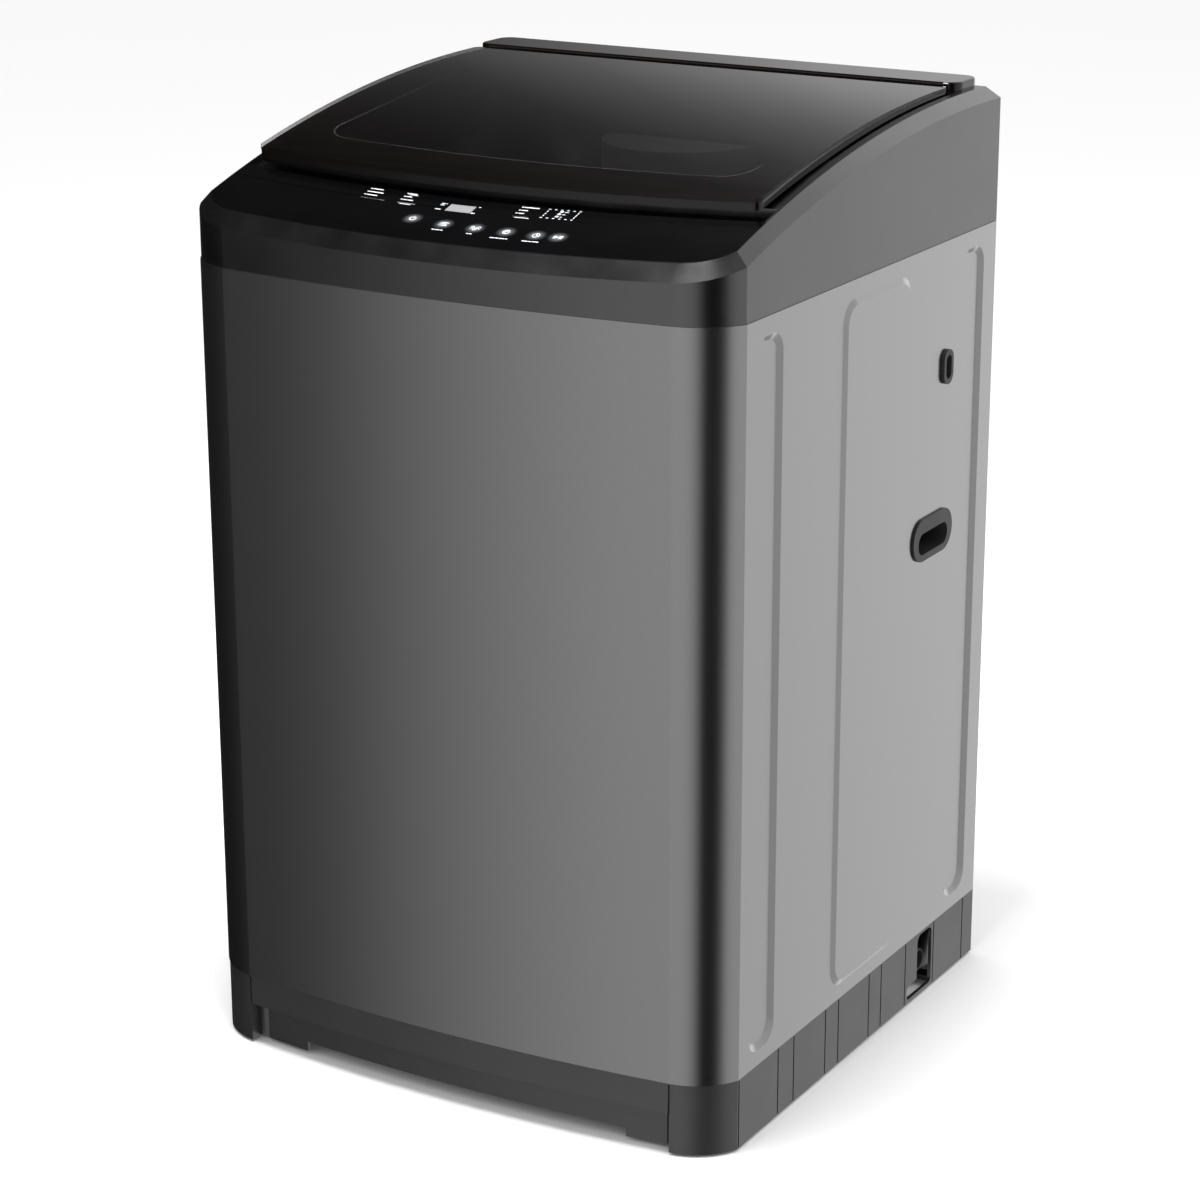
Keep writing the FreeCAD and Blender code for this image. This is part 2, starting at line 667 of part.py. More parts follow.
def opening_prism(grow, z0, z1):
    return slab_xy(-OPENING_HALF_WIDTH - grow, OPENING_HALF_WIDTH + grow, OPENING_FRONT_Y - grow,
                   OPENING_REAR_Y + grow, z0, z1, OPENING_CORNER + grow)


def panel_outline(inset):
    """Full-height prism of the control panel, drawn in by inset."""
    return plan_prism(PANEL_INSET + inset, 0, FAR * 1.2).cut(behind_bow(PANEL_REAR - inset))


def drawer_slot():
    c = DRAWER_CLEARANCE
    return box(-DRAWER_HALF_WIDTH - c, DRAWER_HALF_WIDTH + c, OPENING_REAR_Y - 60, OPENING_REAR_Y + 20,
               DRAWER_TOP - DRAWER_HEIGHT - c, DRAWER_TOP + c)


def hinge_z():
    return arc_z(LID_ARC, LID_REAR_Y - HINGE_BACK) - HINGE_DROP


def top_cover():
    cover = chamfered_cover(COVER_STEP, CABINET_TOP, COVER_RISE, COVER_RISE)
    hollow = chamfered_cover(COVER_STEP + COVER_WALL, CABINET_TOP - 5, COVER_RISE - COVER_TOP_WALL, 10)
    hollow = hollow.common(under_arc(LID_ARC, -SEAT - 6))
    cover = cover.cut(hollow)
    # collar round the opening
    collar = opening_prism(COVER_WALL, COLLAR_BOTTOM, FAR * 1.2).common(under_arc(RIM_ARC, COVER_RISE))
    cover = cover.fuse(collar)
    # seat under the lid, deeper below its rear edge
    cover = cover.cut(lid_outline(2.5).cut(under_arc(LID_ARC, -SEAT)))
    trough = box(-LID_HALF_WIDTH - 2.5, LID_HALF_WIDTH + 2.5, LID_REAR_Y - 10, LID_REAR_Y + DECK_GAP - 1,
                 CABINET_TOP, FAR * 1.2)
    cover = cover.cut(trough.cut(under_arc(LID_ARC, -SEAT - 3)))
    cover = cover.cut(opening_prism(0, COLLAR_BOTTOM - 5, FAR * 1.2))
    # finger recess in front of the lid
    groove = plan_prism(PANEL_INSET + 2, 0, FAR * 1.2).common(behind_bow(PANEL_REAR))
    groove = groove.cut(behind_bow(RECESS_REAR)).cut(under_arc(RIM_ARC, COVER_RISE - RECESS_DEPTH))
    floor = plan_prism(PANEL_INSET + 2, 0, FAR * 1.2).common(behind_bow(PANEL_REAR - PANEL_LEDGE - 4))
    floor = floor.cut(behind_bow(RECESS_REAR + 3))
    floor = floor.common(arc_layer(RIM_ARC, COVER_RISE - RECESS_DEPTH - 3, COVER_RISE - PANEL_THICKNESS))
    cover = cover.fuse(floor).cut(groove)
    # pocket for the control panel, open inside its ledge
    pocket = panel_outline(-0.3).cut(under_arc(RIM_ARC, COVER_RISE - PANEL_THICKNESS + PANEL_PROUD))
    through = panel_outline(PANEL_LEDGE).cut(under_arc(RIM_ARC, -40))
    cover = cover.cut(pocket).cut(through)
    # mouth of the detergent drawer and pocket of the water inlet
    cover = cover.cut(drawer_slot())
    cover = cover.fuse(inlet_pocket(COVER_WALL, REAR_Y - 0.5)).cut(inlet_pocket(0, REAR_Y + 5))
    cover = cover.cut(rod_y(REAR_Y - 40, REAR_Y, INLET_X, INLET_Z, INLET_NECK_R + 0.3))
    # slot for the lid's hook
    cover = cover.cut(box(LOCK_X - 7, LOCK_X + 7, lock_y() - 4, lock_y() + 4, COLLAR_BOTTOM, FAR * 1.2))
    # skirt that locates the cover in the cabinet
    skirt = plan_prism(SHEET + 0.6, CABINET_TOP - SKIRT_DEPTH, CABINET_TOP + 3)
    skirt = skirt.cut(plan_prism(SHEET + 0.6 + 2.4, 0, FAR))
    skirt = skirt.cut(box(-FAR, FAR, REAR_SHEET_Y - 2 * SHEET - 1, FAR, 0, CABINET_TOP))
    cover = cover.fuse(skirt)
    return cover.fuse(hinge_knuckles()).removeSplitter()


def inlet_pocket(grow, y1):
    return box(INLET_X - 32 - grow, INLET_X + 32 + grow, REAR_Y - INLET_POCKET - grow, y1,
               INLET_Z - 26 - grow, INLET_Z + 26 + grow)


def hinge_knuckles():
    z = hinge_z()
    shapes = []
    for side in (-1, 1):
        x0, x1 = sorted((side * KNUCKLE_X[0], side * KNUCKLE_X[1]))
        lug = rod_x(x0, x1, HINGE_Y, z, HINGE_PIN_R + 1.1)
        web = box(x0, x1, HINGE_Y - 3, HINGE_Y + 3, z - 14, z)
        shapes.append(lug.fuse(web).cut(rod_x(x0 - 1, x1 + 1, HINGE_Y, z, HINGE_PIN_R)))
    return Part.Compound(shapes)


def lid_hinge_pins():
    z = hinge_z()
    pins = []
    for side in (-1, 1):
        x0, x1 = sorted((side * HINGE_PIN_X[0], side * HINGE_PIN_X[1]))
        pins.append(rod_x(x0, x1, HINGE_Y, z, HINGE_PIN_R))
    return Part.Compound(pins)


def rear_deck():
    block = slab_xy(-DECK_HALF_WIDTH, DECK_HALF_WIDTH, LID_REAR_Y + DECK_GAP, REAR_Y - DECK_REAR_INSET,
                    CABINET_TOP, BODY_HEIGHT, DECK_CORNER)
    block = block.makeFillet(2.5, [e for e in block.Edges if e.BoundBox.ZMin > BODY_HEIGHT - 0.1])
    inner = slab_xy(-DECK_HALF_WIDTH + DECK_WALL, DECK_HALF_WIDTH - DECK_WALL,
                    LID_REAR_Y + DECK_GAP + DECK_WALL, REAR_Y - DECK_REAR_INSET - DECK_WALL,
                    CABINET_TOP - 1, BODY_HEIGHT - DECK_WALL, DECK_CORNER - DECK_WALL)
    return block.cut(inner).cut(under_arc(RIM_ARC, COVER_RISE))


def panel_box(x_range, back_range, low, high):
    """A block that follows the panel's slope, placed from the bow's crown."""
    y0, y1 = CROWN_Y + back_range[0], CROWN_Y + back_range[1]
    return box(x_range[0], x_range[1], y0, y1, 0, FAR * 1.2).common(arc_layer(RIM_ARC, low, high))


def control_panel():
    plate = panel_outline(0).common(arc_layer(RIM_ARC, PANEL_UNDER, PANEL_TOP))
    plate = plate.cut(panel_box(DISPLAY_X, DISPLAY_BACK, 0, PANEL_TOP + 5))
    line = behind_bow(PANEL_REAR - 22).cut(behind_bow(PANEL_REAR - 21))
    return plate.cut(line.cut(under_arc(RIM_ARC, PANEL_TOP - 0.5)))


def display_window():
    gap = 0.2
    return panel_box((DISPLAY_X[0] + gap, DISPLAY_X[1] - gap), (DISPLAY_BACK[0] + gap, DISPLAY_BACK[1] - gap),
                     PANEL_UNDER, PANEL_TOP - 0.2)


def board_tray():
    outer = panel_outline(PANEL_LEDGE - 3).common(arc_layer(RIM_ARC, 0.5, COVER_RISE - COVER_TOP_WALL))
    inner = panel_outline(PANEL_LEDGE).cut(under_arc(RIM_ARC, 2.5))
    tray = outer.cut(inner).cut(behind_bow(TRAY_REAR))
    tray = tray.fuse(outer.common(behind_bow(TRAY_REAR - 3)).cut(behind_bow(TRAY_REAR)))
    posts = [panel_box((x - 4, x + 4), (back - 4, back + 4), 2, BOARD_UNDER)
             for x in (-150, 150) for back in (BOARD_BACK[0] + 6, BOARD_BACK[1] - 6)]
    return fused([tray] + posts)


def control_board():
    return panel_box((-158, 158), BOARD_BACK, BOARD_UNDER, BOARD_UNDER + BOARD)


def touch_springs():
    springs = []
    for x in KEY_X:
        y = bow_y(x, KEY_BACK)
        coil = tube(x, y, 0, FAR * 1.2, KEY_SPRING_R, KEY_SPRING_R - 1)
        springs.append(coil.common(arc_layer(RIM_ARC, BOARD_UNDER + BOARD, PANEL_UNDER)))
    return Part.Compound(springs)


def power_board_case():
    return panel_box((150, 270), (30, 95), -18, 0.5)


# ---------------------------------------------------------------- lid

def lid_glass():
    return lid_outline().common(arc_layer(LID_ARC, -GLASS, 0))


def lid_frame():
    frame = lid_outline(-0.4).cut(window_outline())
    frame = frame.common(arc_layer(LID_ARC, -LID_THICKNESS, -GLASS))
    z = hinge_z()
    for side in (-1, 1):
        x0, x1 = sorted((side * (KNUCKLE_X[0] - 1), side * (KNUCKLE_X[1] + 1)))
        frame = frame.cut(box(x0, x1, HINGE_Y - 9, LID_REAR_Y + 5, CABINET_TOP, FAR * 1.2))
        x0, x1 = sorted((side * (HINGE_PIN_X[0] - 0.5), side * (HINGE_PIN_X[1] + 0.5)))
        frame = frame.cut(rod_x(x0, x1, HINGE_Y, z, HINGE_PIN_R + RUNNING_FIT))
    hook_y = lock_y()
    top = arc_z(LID_ARC, hook_y) - LID_THICKNESS + 1
    low, high = hook_window_z()
    hook = box(LOCK_X - 5, LOCK_X + 5, hook_y - 1.5, hook_y + 1.5, low - 4, top)
    hook = hook.cut(box(LOCK_X - 3, LOCK_X + 3, hook_y - 5, hook_y + 5, low, high))
    return frame.fuse(hook).removeSplitter()


def lock_y():
    """The hook's place, between the lid's front edge and the opening."""
    return OPENING_FRONT_Y - COVER_WALL - 9


def hook_window_z():
    cover_under = arc_z(RIM_ARC, lock_y()) + COVER_RISE - COVER_TOP_WALL
    return cover_under - 27, cover_under - 20


def lid_bumpers():
    bumpers = []
    for x in (-LID_HALF_WIDTH + 22, LID_HALF_WIDTH - 22):
        y = bow_y(x, LID_FRONT + 26)
        post = disc(x, y, 0, FAR * 1.2, 4)
        layer = under_arc(LID_ARC, -LID_THICKNESS).cut(under_arc(RIM_ARC, COVER_RISE + 0.3))
        bumpers.append(post.common(layer))
    return Part.Compound(bumpers)


def lid_lock_housing():
    low, high = hook_window_z()
    y = lock_y()
    block = box(LOCK_X - LOCK_HALF, LOCK_X + LOCK_HALF, y - 7, y + 8.9, low - 7, high + 1)
    block = block.cut(box(LOCK_X - 7, LOCK_X + 7, y - 4, y + 4, low - 6, high + 5))
    z = (low + high) / 2
    bore = rod_y(y - 9, y + 5, LOCK_X, z, LOCK_BOLT_R + 0.3)
    return block.cut(bore).fuse(bolt_sleeve(y, z))


def bolt_sleeve(y, z):
    """Solenoid that pushes the bolt, in front of the housing."""
    outer = rod_y(y - 25, y - 7, LOCK_X, z, 7.5)
    return outer.cut(rod_y(y - 24, y, LOCK_X, z, LOCK_BOLT_R + 0.3))


def lid_lock_bolt():
    low, high = hook_window_z()
    y = lock_y()
    return rod_y(y - 14, y - 4.5, LOCK_X, (low + high) / 2, LOCK_BOLT_R)


# ---------------------------------------------------------------- dispenser and water

def dispenser_housing():
    c = DRAWER_CLEARANCE
    half = DRAWER_HALF_WIDTH + c
    y0 = OPENING_REAR_Y + COVER_WALL
    y1 = DRAWER_REAR_Y + c
    z0 = DRAWER_TOP - DRAWER_HEIGHT - c
    z1 = DRAWER_TOP + c
    outer = box(-half - 3, half + 3, y0, y1 + 3, z0 - 3, z1 + 10)
    hollow = box(-half, half, y0 - 1, y1, z0, z1)
    chamber = box(-half, half, y0 + 3, y1, z1 + 3, z1 + 7)
    rain = [disc(x, y0 + 20 + 18 * j, z1 - 1, z1 + 4, 2.0) for x in range(-75, 76, 15) for j in range(3)]
    return outer.cut(hollow).cut(chamber).cut(Part.Compound(rain))


def drawer_prism(inset, z0, z1):
    """The drawer's outline: square at the back, half round at the front."""
    r = DRAWER_HALF_WIDTH - inset
    yc = OPENING_REAR_Y - 8
    y1 = DRAWER_REAR_Y - inset
    wire = Part.Wire([
        Part.Arc(V(-r, yc, z0), V(0, yc - r, z0), V(r, yc, z0)).toShape(),
        Part.LineSegment(V(r, yc, z0), V(r, y1, z0)).toShape(),
        Part.LineSegment(V(r, y1, z0), V(-r, y1, z0)).toShape(),
        Part.LineSegment(V(-r, y1, z0), V(-r, yc, z0)).toShape(),
    ])
    return Part.Face(wire).extrude(V(0, 0, z1 - z0))


def detergent_drawer():
    z0, z1 = DRAWER_TOP - DRAWER_HEIGHT, DRAWER_TOP
    tray = drawer_prism(0, z0, z1).cut(drawer_prism(DRAWER_WALL, z0 + DRAWER_WALL, z1 + 1))
    front = drawer_prism(0, z1 - 3, z1).cut(box(-FAR, FAR, OPENING_REAR_Y - 12, FAR, 0, FAR * 2))
    divider = box(12, 12 + DRAWER_WALL, OPENING_REAR_Y - 12, DRAWER_REAR_Y - 1, z0 + 1, z1 - 6)
    return fused([tray, front, divider])


def inlet_valve():
    y_floor = REAR_Y - INLET_POCKET
    block = box(INLET_X - 20, INLET_X + 20, y_floor - COVER_WALL - 40, y_floor - COVER_WALL,
                INLET_Z - 18, INLET_Z + 18)
    neck = rod_y(y_floor - COVER_WALL - 1, y_floor + 1, INLET_X, INLET_Z, INLET_NECK_R)
    thread = rod_y(y_floor + 0.2, REAR_Y - 4, INLET_X, INLET_Z, INLET_THREAD_R)
    bore = rod_y(y_floor - 20, REAR_Y, INLET_X, INLET_Z, 8)
    half = DRAWER_HALF_WIDTH + DRAWER_CLEARANCE + 3
    duct = rod_x(INLET_X + 19, -half, y_floor - COVER_WALL - 20, DRAWER_TOP + 5, 4.0)
    coil = disc(INLET_X, y_floor - COVER_WALL - 20, INLET_Z - 42, INLET_Z - 17, 13)
    return fused([block, neck, thread, duct, coil]).cut(bore)


def pressure_sensor():
    z0 = SENSOR_BOTTOM
    return fused([box(PRESSURE_X - 20, PRESSURE_X + 20, PRESSURE_Y - 20, REAR_Y - COVER_WALL, z0, z0 + 22),
                  disc(PRESSURE_X, PRESSURE_Y, z0 - 12, z0 + 1, 2.0)])


def pressure_tube():
    """Air tube from the trap on the tub up to the sensor; it stretches as the tub moves."""
    return tube(PRESSURE_X, PRESSURE_Y, TRAP_TOP + 0.3, SENSOR_BOTTOM - 0.3, 3.5, 2.2)


def air_trap():
    r = math.hypot(PRESSURE_X, PRESSURE_Y)
    turn = math.degrees(math.atan2(PRESSURE_Y, PRESSURE_X))
    block = box(TUB_R - 1, r + 9, -12, 12, TRAP_TOP - 24, TRAP_TOP)
    block.rotate(V(0, 0, 0), V(0, 0, 1), turn)
    return block.cut(disc(0, 0, 0, FAR, TUB_R))


# ---------------------------------------------------------------- tub

def corner_places():
    return [(sx * ROD_XY, sy * ROD_XY) for sx in (-1, 1) for sy in (-1, 1)]


def outer_tub():
    shell = disc(0, 0, TUB_BOTTOM, TUB_TOP, TUB_R)
    shell = shell.cut(disc(0, 0, TUB_BOTTOM + TUB_FLOOR, TUB_TOP + 1, TUB_R - TUB_WALL))
    parts = [shell, disc(0, 0, TUB_BOTTOM, TUB_BOTTOM + 12, BARREL_R + 14)]
    for z in (320, 520, 720):
        parts.append(tube(0, 0, z, z + 4, TUB_R + 4, TUB_R - 1))
    for x, y in corner_places():
        angle = math.degrees(math.atan2(y, x))
        arm = box(TUB_R - 2, ROD_XY * math.sqrt(2), -LUG_R + 2, LUG_R - 2, LUG_BOTTOM, LUG_TOP)
        arm.rotate(V(0, 0, 0), V(0, 0, 1), angle)
        parts.append(arm)
        parts.append(disc(x, y, LUG_BOTTOM, LUG_TOP, LUG_R))
    parts.append(tube(SUMP_X, SUMP_Y, TUB_BOTTOM - 24, TUB_BOTTOM + 1, 16, 13))
    tub = fused(parts)
    for x, y in corner_places():
        tub = tub.cut(disc(x, y, LUG_BOTTOM - 1, LUG_TOP + 1, CUP_R))
    tub = tub.cut(disc(SUMP_X, SUMP_Y, TUB_BOTTOM - 30, TUB_BOTTOM + 20, 13))
    return tub.cut(disc(0, 0, TUB_BOTTOM - 1, TUB_BOTTOM + 20, BEARING_R))


def tub_cover():
    lip = 14.0
    outline = [(TUB_COVER_HOLE_R, TUB_COVER_TOP - 3), (TUB_COVER_HOLE_R, TUB_COVER_TOP),
               (TUB_R + 3, TUB_COVER_TOP), (TUB_R + 3, TUB_TOP - lip), (TUB_R + 0.2, TUB_TOP - lip),
               (TUB_R + 0.2, TUB_TOP), (TUB_R - TUB_WALL, TUB_TOP), (TUB_R - TUB_WALL, TUB_COVER_TOP - 3)]
    return revolved(outline)


def suspension_cups():
    cups = []
    for x, y in corner_places():
        cup = disc(x, y, LUG_BOTTOM - 6, LUG_TOP + 6, CUP_R)
        cup = cup.fuse(disc(x, y, LUG_BOTTOM - 6, LUG_BOTTOM, CUP_R + 3))
        cup = cup.cut(disc(x, y, LUG_BOTTOM - 10, LUG_TOP + 10, ROD_R + 0.6))
        cups.append(cup.removeSplitter())
    return Part.Compound(cups)


def suspension_rods():
    rods = []
    for x, y in corner_places():
        head = disc(x, y, ROD_TOP - 2, ROD_TOP + 6, 11)
        rods.append(fused([head, disc(x, y, ROD_BOTTOM, ROD_TOP, ROD_R),
                           disc(x, y, ROD_BOTTOM, SPRING_BOTTOM, SPRING_R + 3)]))
    return Part.Compound(rods)


def wire_arc(start, tangent, end):
    """Spring wire along the arc that leaves start along tangent and reaches end."""
    chord = end - start
    normal = tangent.cross(chord).normalize()
    inward = normal.cross(tangent)
    radius = chord.dot(chord) / (2 * chord.dot(inward))
    angle = 2 * math.degrees(math.asin(chord.Length / (2 * radius)))
    section = Part.Face(Part.Wire([Part.makeCircle(SPRING_WIRE / 2, start, tangent)]))
    return section.revolve(start + inward * radius, normal, angle)


def coil_spring(height):
    """A coil about Z made of smoothly joined arcs, two to each third of a turn."""
    pitch = height / SPRING_TURNS
    ends = []
    for i in range(3 * SPRING_TURNS + 1):
        turn = i / 3
        a = 2 * math.pi * turn
        place = V(SPRING_R * math.cos(a), SPRING_R * math.sin(a), pitch * turn)
        heading = V(-SPRING_R * math.sin(a), SPRING_R * math.cos(a), pitch / (2 * math.pi))
        ends.append((place, heading.normalize()))
    arcs = []
    for (start, leaving), (end, arriving) in zip(ends, ends[1:]):
        # equal tangent lengths from both ends meet where the two arcs join
        span, both = end - start, leaving + arriving
        k = 2 * (1 - leaving.dot(arriving))
        length = (-span.dot(both) + math.sqrt(span.dot(both) ** 2 + k * span.dot(span))) / k
        joint = (start + end + (leaving - arriving) * length) * 0.5
        across = (end - arriving * length - start - leaving * length).normalize()
        arcs.append(wire_arc(start, leaving, joint))
        arcs.append(wire_arc(joint, across, end))
    return arcs[0].multiFuse(arcs[1:]).removeSplitter()


def suspension_springs():
    gap = 0.3
    coil = coil_spring(LUG_BOTTOM - 6 - SPRING_BOTTOM - SPRING_WIRE - 2 * gap)
    z = SPRING_BOTTOM + SPRING_WIRE / 2 + gap
    return Part.Compound([coil.translated(V(x, y, z)) for x, y in corner_places()])


def clutch_housing():
    z1 = TUB_BOTTOM
    plate = disc(0, 0, z1 - HOUSING_PLATE, z1, HOUSING_PLATE_R)
    barrel = disc(0, 0, BARREL_BOTTOM, z1, BARREL_R)
    parts = [plate, barrel]
    for angle in (30, 150, 270):
        a = math.radians(angle)
        parts.append(disc(STATOR_LEG_R * math.cos(a), STATOR_LEG_R * math.sin(a), STATOR[3], z1 - 1, 8))
    for sy in (-1, 1):
        parts.append(box(LEVER_PIVOT_X - 5, LEVER_PIVOT_X + 5, sy * 40 - 3, sy * 40 + 3, LEVER_Z - 7, z1 - 1))
    housing = fused(parts)
    housing = housing.cut(disc(0, 0, BARREL_BOTTOM + 4, z1 + 1, BEARING_R))
    housing = housing.cut(disc(0, 0, BARREL_BOTTOM - 1, z1, SPIN_TUBE_R + 1.5))
    return housing.cut(rod_y(-50, 50, LEVER_PIVOT_X, LEVER_Z, 3 + RUNNING_FIT))


def stator():
    inner, outer, z0, z1 = STATOR
    core = tube(0, 0, z0, z1, outer - 3, inner)
    teeth = []
    for i in range(36):
        tooth = box(outer - 4, outer, -5.5, 5.5, z0 + 4, z1 - 4)
        tooth.rotate(V(0, 0, 0), V(0, 0, 1), i * 10)
        teeth.append(tooth)
    slots = []
    for i in range(36):
        slot = box(outer - 26, outer - 5, -2.4, 2.4, z0 - 1, z1 + 1)
        slot.rotate(V(0, 0, 0), V(0, 0, 1), i * 10 + 5)
        slots.append(slot)
    return fused([core] + teeth).cut(Part.Compound(slots))


def bearing(z0, z1):
    return tube(0, 0, z0, z1, BEARING_R, SPIN_TUBE_R + RUNNING_FIT)


def shaft_seal():
    return tube(0, 0, TUB_BOTTOM, TUB_BOTTOM + 12, BEARING_R, SPIN_TUBE_R + RUNNING_FIT)


def clutch_actuator():
    z1 = TUB_BOTTOM - HOUSING_PLATE
    body = box(-150, -92, 60, 110, z1 - 40, z1)
    shaft = rod_x(-92, -80, 85, z1 - 22, 5)
    return body.fuse(shaft)


def housing_bolts():
    bolts = []
    for i in range(6):
        a = math.radians(60 * i + 45)
        x, y = (HOUSING_PLATE_R - 14) * math.cos(a), (HOUSING_PLATE_R - 14) * math.sin(a)
        z = TUB_BOTTOM - HOUSING_PLATE
        bolts.append(disc(x, y, z - 5, z, 7))
    return Part.Compound(bolts)


# ---------------------------------------------------------------- drum

def drum_shell():
    return tube(0, 0, DRUM_BOTTOM, DRUM_TOP, DRUM_R, DRUM_R - DRUM_SHEET)


def drum_base():
    r = DRUM_R - DRUM_SHEET
    floor = DRUM_FLOOR_BOTTOM
    outline = [(SPIN_TUBE_R, floor), (r - 6, floor), (r, floor + 6), (r, DRUM_FLOOR_TOP + 18),
               (r - 3, DRUM_FLOOR_TOP + 18), (r - 12, DRUM_FLOOR_TOP), (SPIN_TUBE_R, DRUM_FLOOR_TOP)]
    return revolved(outline)


def balance_ring():
    outline = [(RING_HOLE_R, RING_TOP - 6), (RING_HOLE_R + 6, RING_TOP), (RING_R - 5, RING_TOP),
               (RING_R, RING_TOP - 5), (RING_R, RING_BOTTOM), (DRUM_R, RING_BOTTOM), (DRUM_R, DRUM_TOP),
               (RING_HOLE_R + 8, DRUM_TOP), (RING_HOLE_R, DRUM_TOP + 8)]
    return revolved(outline)


def lint_filters():
    filters = []
    r = DRUM_R - DRUM_SHEET
    for angle in (60, 240):
        body = tube(0, 0, 480, 700, r, r - 14).common(box(0, FAR, -45, 45, 0, FAR))
        body = body.cut(tube(0, 0, 495, 680, r - 3, r - 11).common(box(0, FAR, -38, 38, 0, FAR)))
        window = box(r - 20, r - 6, -34, 34, 520, 670)
        bars = [box(r - 16, r - 10, -34, 34, 520 + 18.75 * i - 1.5, 520 + 18.75 * i + 1.5)
                for i in range(1, 8)]
        body = body.cut(window)
        body = body.fuse(Part.Compound(bars).common(tube(0, 0, 480, 700, r - 11.2, r - 13.8)))
        body = body.common(disc(0, 0, 0, FAR, r))
        body.rotate(V(0, 0, 0), V(0, 0, 1), angle)
        filters.append(body)
    return Part.Compound(filters)


def spin_tube():
    bore = SHAFT_R + RUNNING_FIT
    pipe = disc(0, 0, SPIN_TUBE_BOTTOM, DRUM_FLOOR_TOP, SPIN_TUBE_R)
    flange = disc(0, 0, DRUM_FLOOR_BOTTOM - 8, DRUM_FLOOR_BOTTOM, 70)
    return pipe.fuse(flange).removeSplitter().cut(disc(0, 0, 0, FAR, bore))


# ---------------------------------------------------------------- pulsator and motor

def pulsator():
    r = PULSATOR_R
    z = PULSATOR_BOTTOM
    profile = [(SHAFT_R, z), (r, z), (r, z + PULSATOR_RIM), (r * 0.75, z + PULSATOR_RIM + 2),
               (r * 0.4, z + PULSATOR_RIM + 7), (46, z + PULSATOR_CROWN - 4), (30, z + PULSATOR_CROWN),
               (SHAFT_R, z + PULSATOR_CROWN)]
    plate = revolved(profile)
    fins = []
    for i in range(FIN_COUNT):
        height = 22.0
        fin = slab_xy(34, r - 8, -7, 7, z + 3, z + height, 6.5)
        fin = fin.makeFillet(3, [e for e in fin.Edges if e.BoundBox.ZMin > z + height - 0.1])
        fin.rotate(V(0, 0, 0), V(0, 0, 1), 360 / FIN_COUNT * i)
        fins.append(fin)
    whole = fused([plate] + fins)
    dome = revolved([(0, z - 5), (r + 5, z - 5), (r + 5, z + 12), (r * 0.7, z + 20), (60, z + 28),
                     (40, z + PULSATOR_CROWN + 5), (0, z + PULSATOR_CROWN + 5)])
    whole = whole.common(dome)
    return whole.cut(disc(0, 0, z + PULSATOR_CROWN - 12, FAR, 14))


def agitator_shaft():
    return disc(0, 0, SHAFT_BOTTOM, PULSATOR_BOTTOM + PULSATOR_CROWN - 12, SHAFT_R)


def rotor():
    inner = STATOR[1] + ROTOR_GAP
    outer = inner + ROTOR_WALL
    cup = disc(0, 0, ROTOR_BOTTOM, STATOR[3], outer)
    cup = cup.cut(disc(0, 0, ROTOR_BOTTOM + 4, STATOR[3] + 1, inner))
    cup = cup.fuse(disc(0, 0, ROTOR_BOTTOM, ROTOR_HUB_TOP, ROTOR_HUB_R)).removeSplitter()
    windows = []
    for i in range(6):
        slot = slab_xy(42, 96, -14, 14, ROTOR_BOTTOM - 1, ROTOR_BOTTOM + 5, 13.5)
        slot.rotate(V(0, 0, 0), V(0, 0, 1), 60 * i)
        windows.append(slot)
    return cup.cut(Part.Compound(windows)).cut(disc(0, 0, 0, FAR, SHAFT_R))


def shaft_fasteners():
    top = PULSATOR_BOTTOM + PULSATOR_CROWN - 12
    screw = disc(0, 0, top, top + 6, 9)
    nut = tube(0, 0, SHAFT_BOTTOM + 1, ROTOR_BOTTOM, 15, SHAFT_R)
    return Part.Compound([screw, nut])


# ---------------------------------------------------------------- clutch

def clutch_coupler():
    sleeve = disc(0, 0, COUPLER_BOTTOM, COUPLER_TOP, COUPLER_R)
    low = disc(0, 0, COUPLER_BOTTOM, COUPLER_BOTTOM + COUPLER_FLANGE, COUPLER_FLANGE_R)
    high = disc(0, 0, COUPLER_TOP - COUPLER_FLANGE, COUPLER_TOP, COUPLER_FLANGE_R)
    return fused([sleeve, low, high]).cut(disc(0, 0, 0, FAR, SPIN_TUBE_R + RUNNING_FIT))


def clutch_lever():
    half = LEVER_THICKNESS / 2
    z0, z1 = LEVER_Z - half, LEVER_Z + half
    plate = box(-6, LEVER_PIVOT_X + 25, -33, 33, z0, z1)
    mouth = box(-10, 40, -COUPLER_R - 1.5, COUPLER_R + 1.5, z0 - 1, z1 + 1)
    hub = rod_y(-33, 33, LEVER_PIVOT_X, LEVER_Z, 5.5)
    lever = fused([plate.cut(mouth), hub])
    pin = rod_y(-46, 46, LEVER_PIVOT_X, LEVER_Z, 3)
    return lever.fuse(pin).removeSplitter()


# ---------------------------------------------------------------- drain

def drain_pump():
    volute = disc(SUMP_X, SUMP_Y, PUMP_FLOOR, PUMP_FLOOR + 44, 33)
    motor = rod_y(SUMP_Y - 88, SUMP_Y - 26, SUMP_X, PUMP_FLOOR + 26, 20)
    neck = disc(SUMP_X, SUMP_Y, PUMP_FLOOR + 40, BELLOWS_BOTTOM + 8, 16)
    bore = disc(SUMP_X, SUMP_Y, PUMP_FLOOR + 20, FAR, 13)
    return fused([volute, motor, neck]).cut(bore).cut(rod_x(SUMP_X, FAR, DRAIN_Y, DRAIN_Z, DRAIN_R))


def drain_spigot():
    x0 = SUMP_X + math.sqrt(33 ** 2 - (DRAIN_Y - SUMP_Y) ** 2) - 4
    pipe = rod_x(x0, HALF_W - 8, DRAIN_Y, DRAIN_Z, DRAIN_R)
    collar = rod_x(SUMP_X + 34, SUMP_X + 40, DRAIN_Y, DRAIN_Z, DRAIN_R + 4)
    return fused([pipe, collar]).cut(rod_x(0, FAR, DRAIN_Y, DRAIN_Z, DRAIN_R - 2.5))


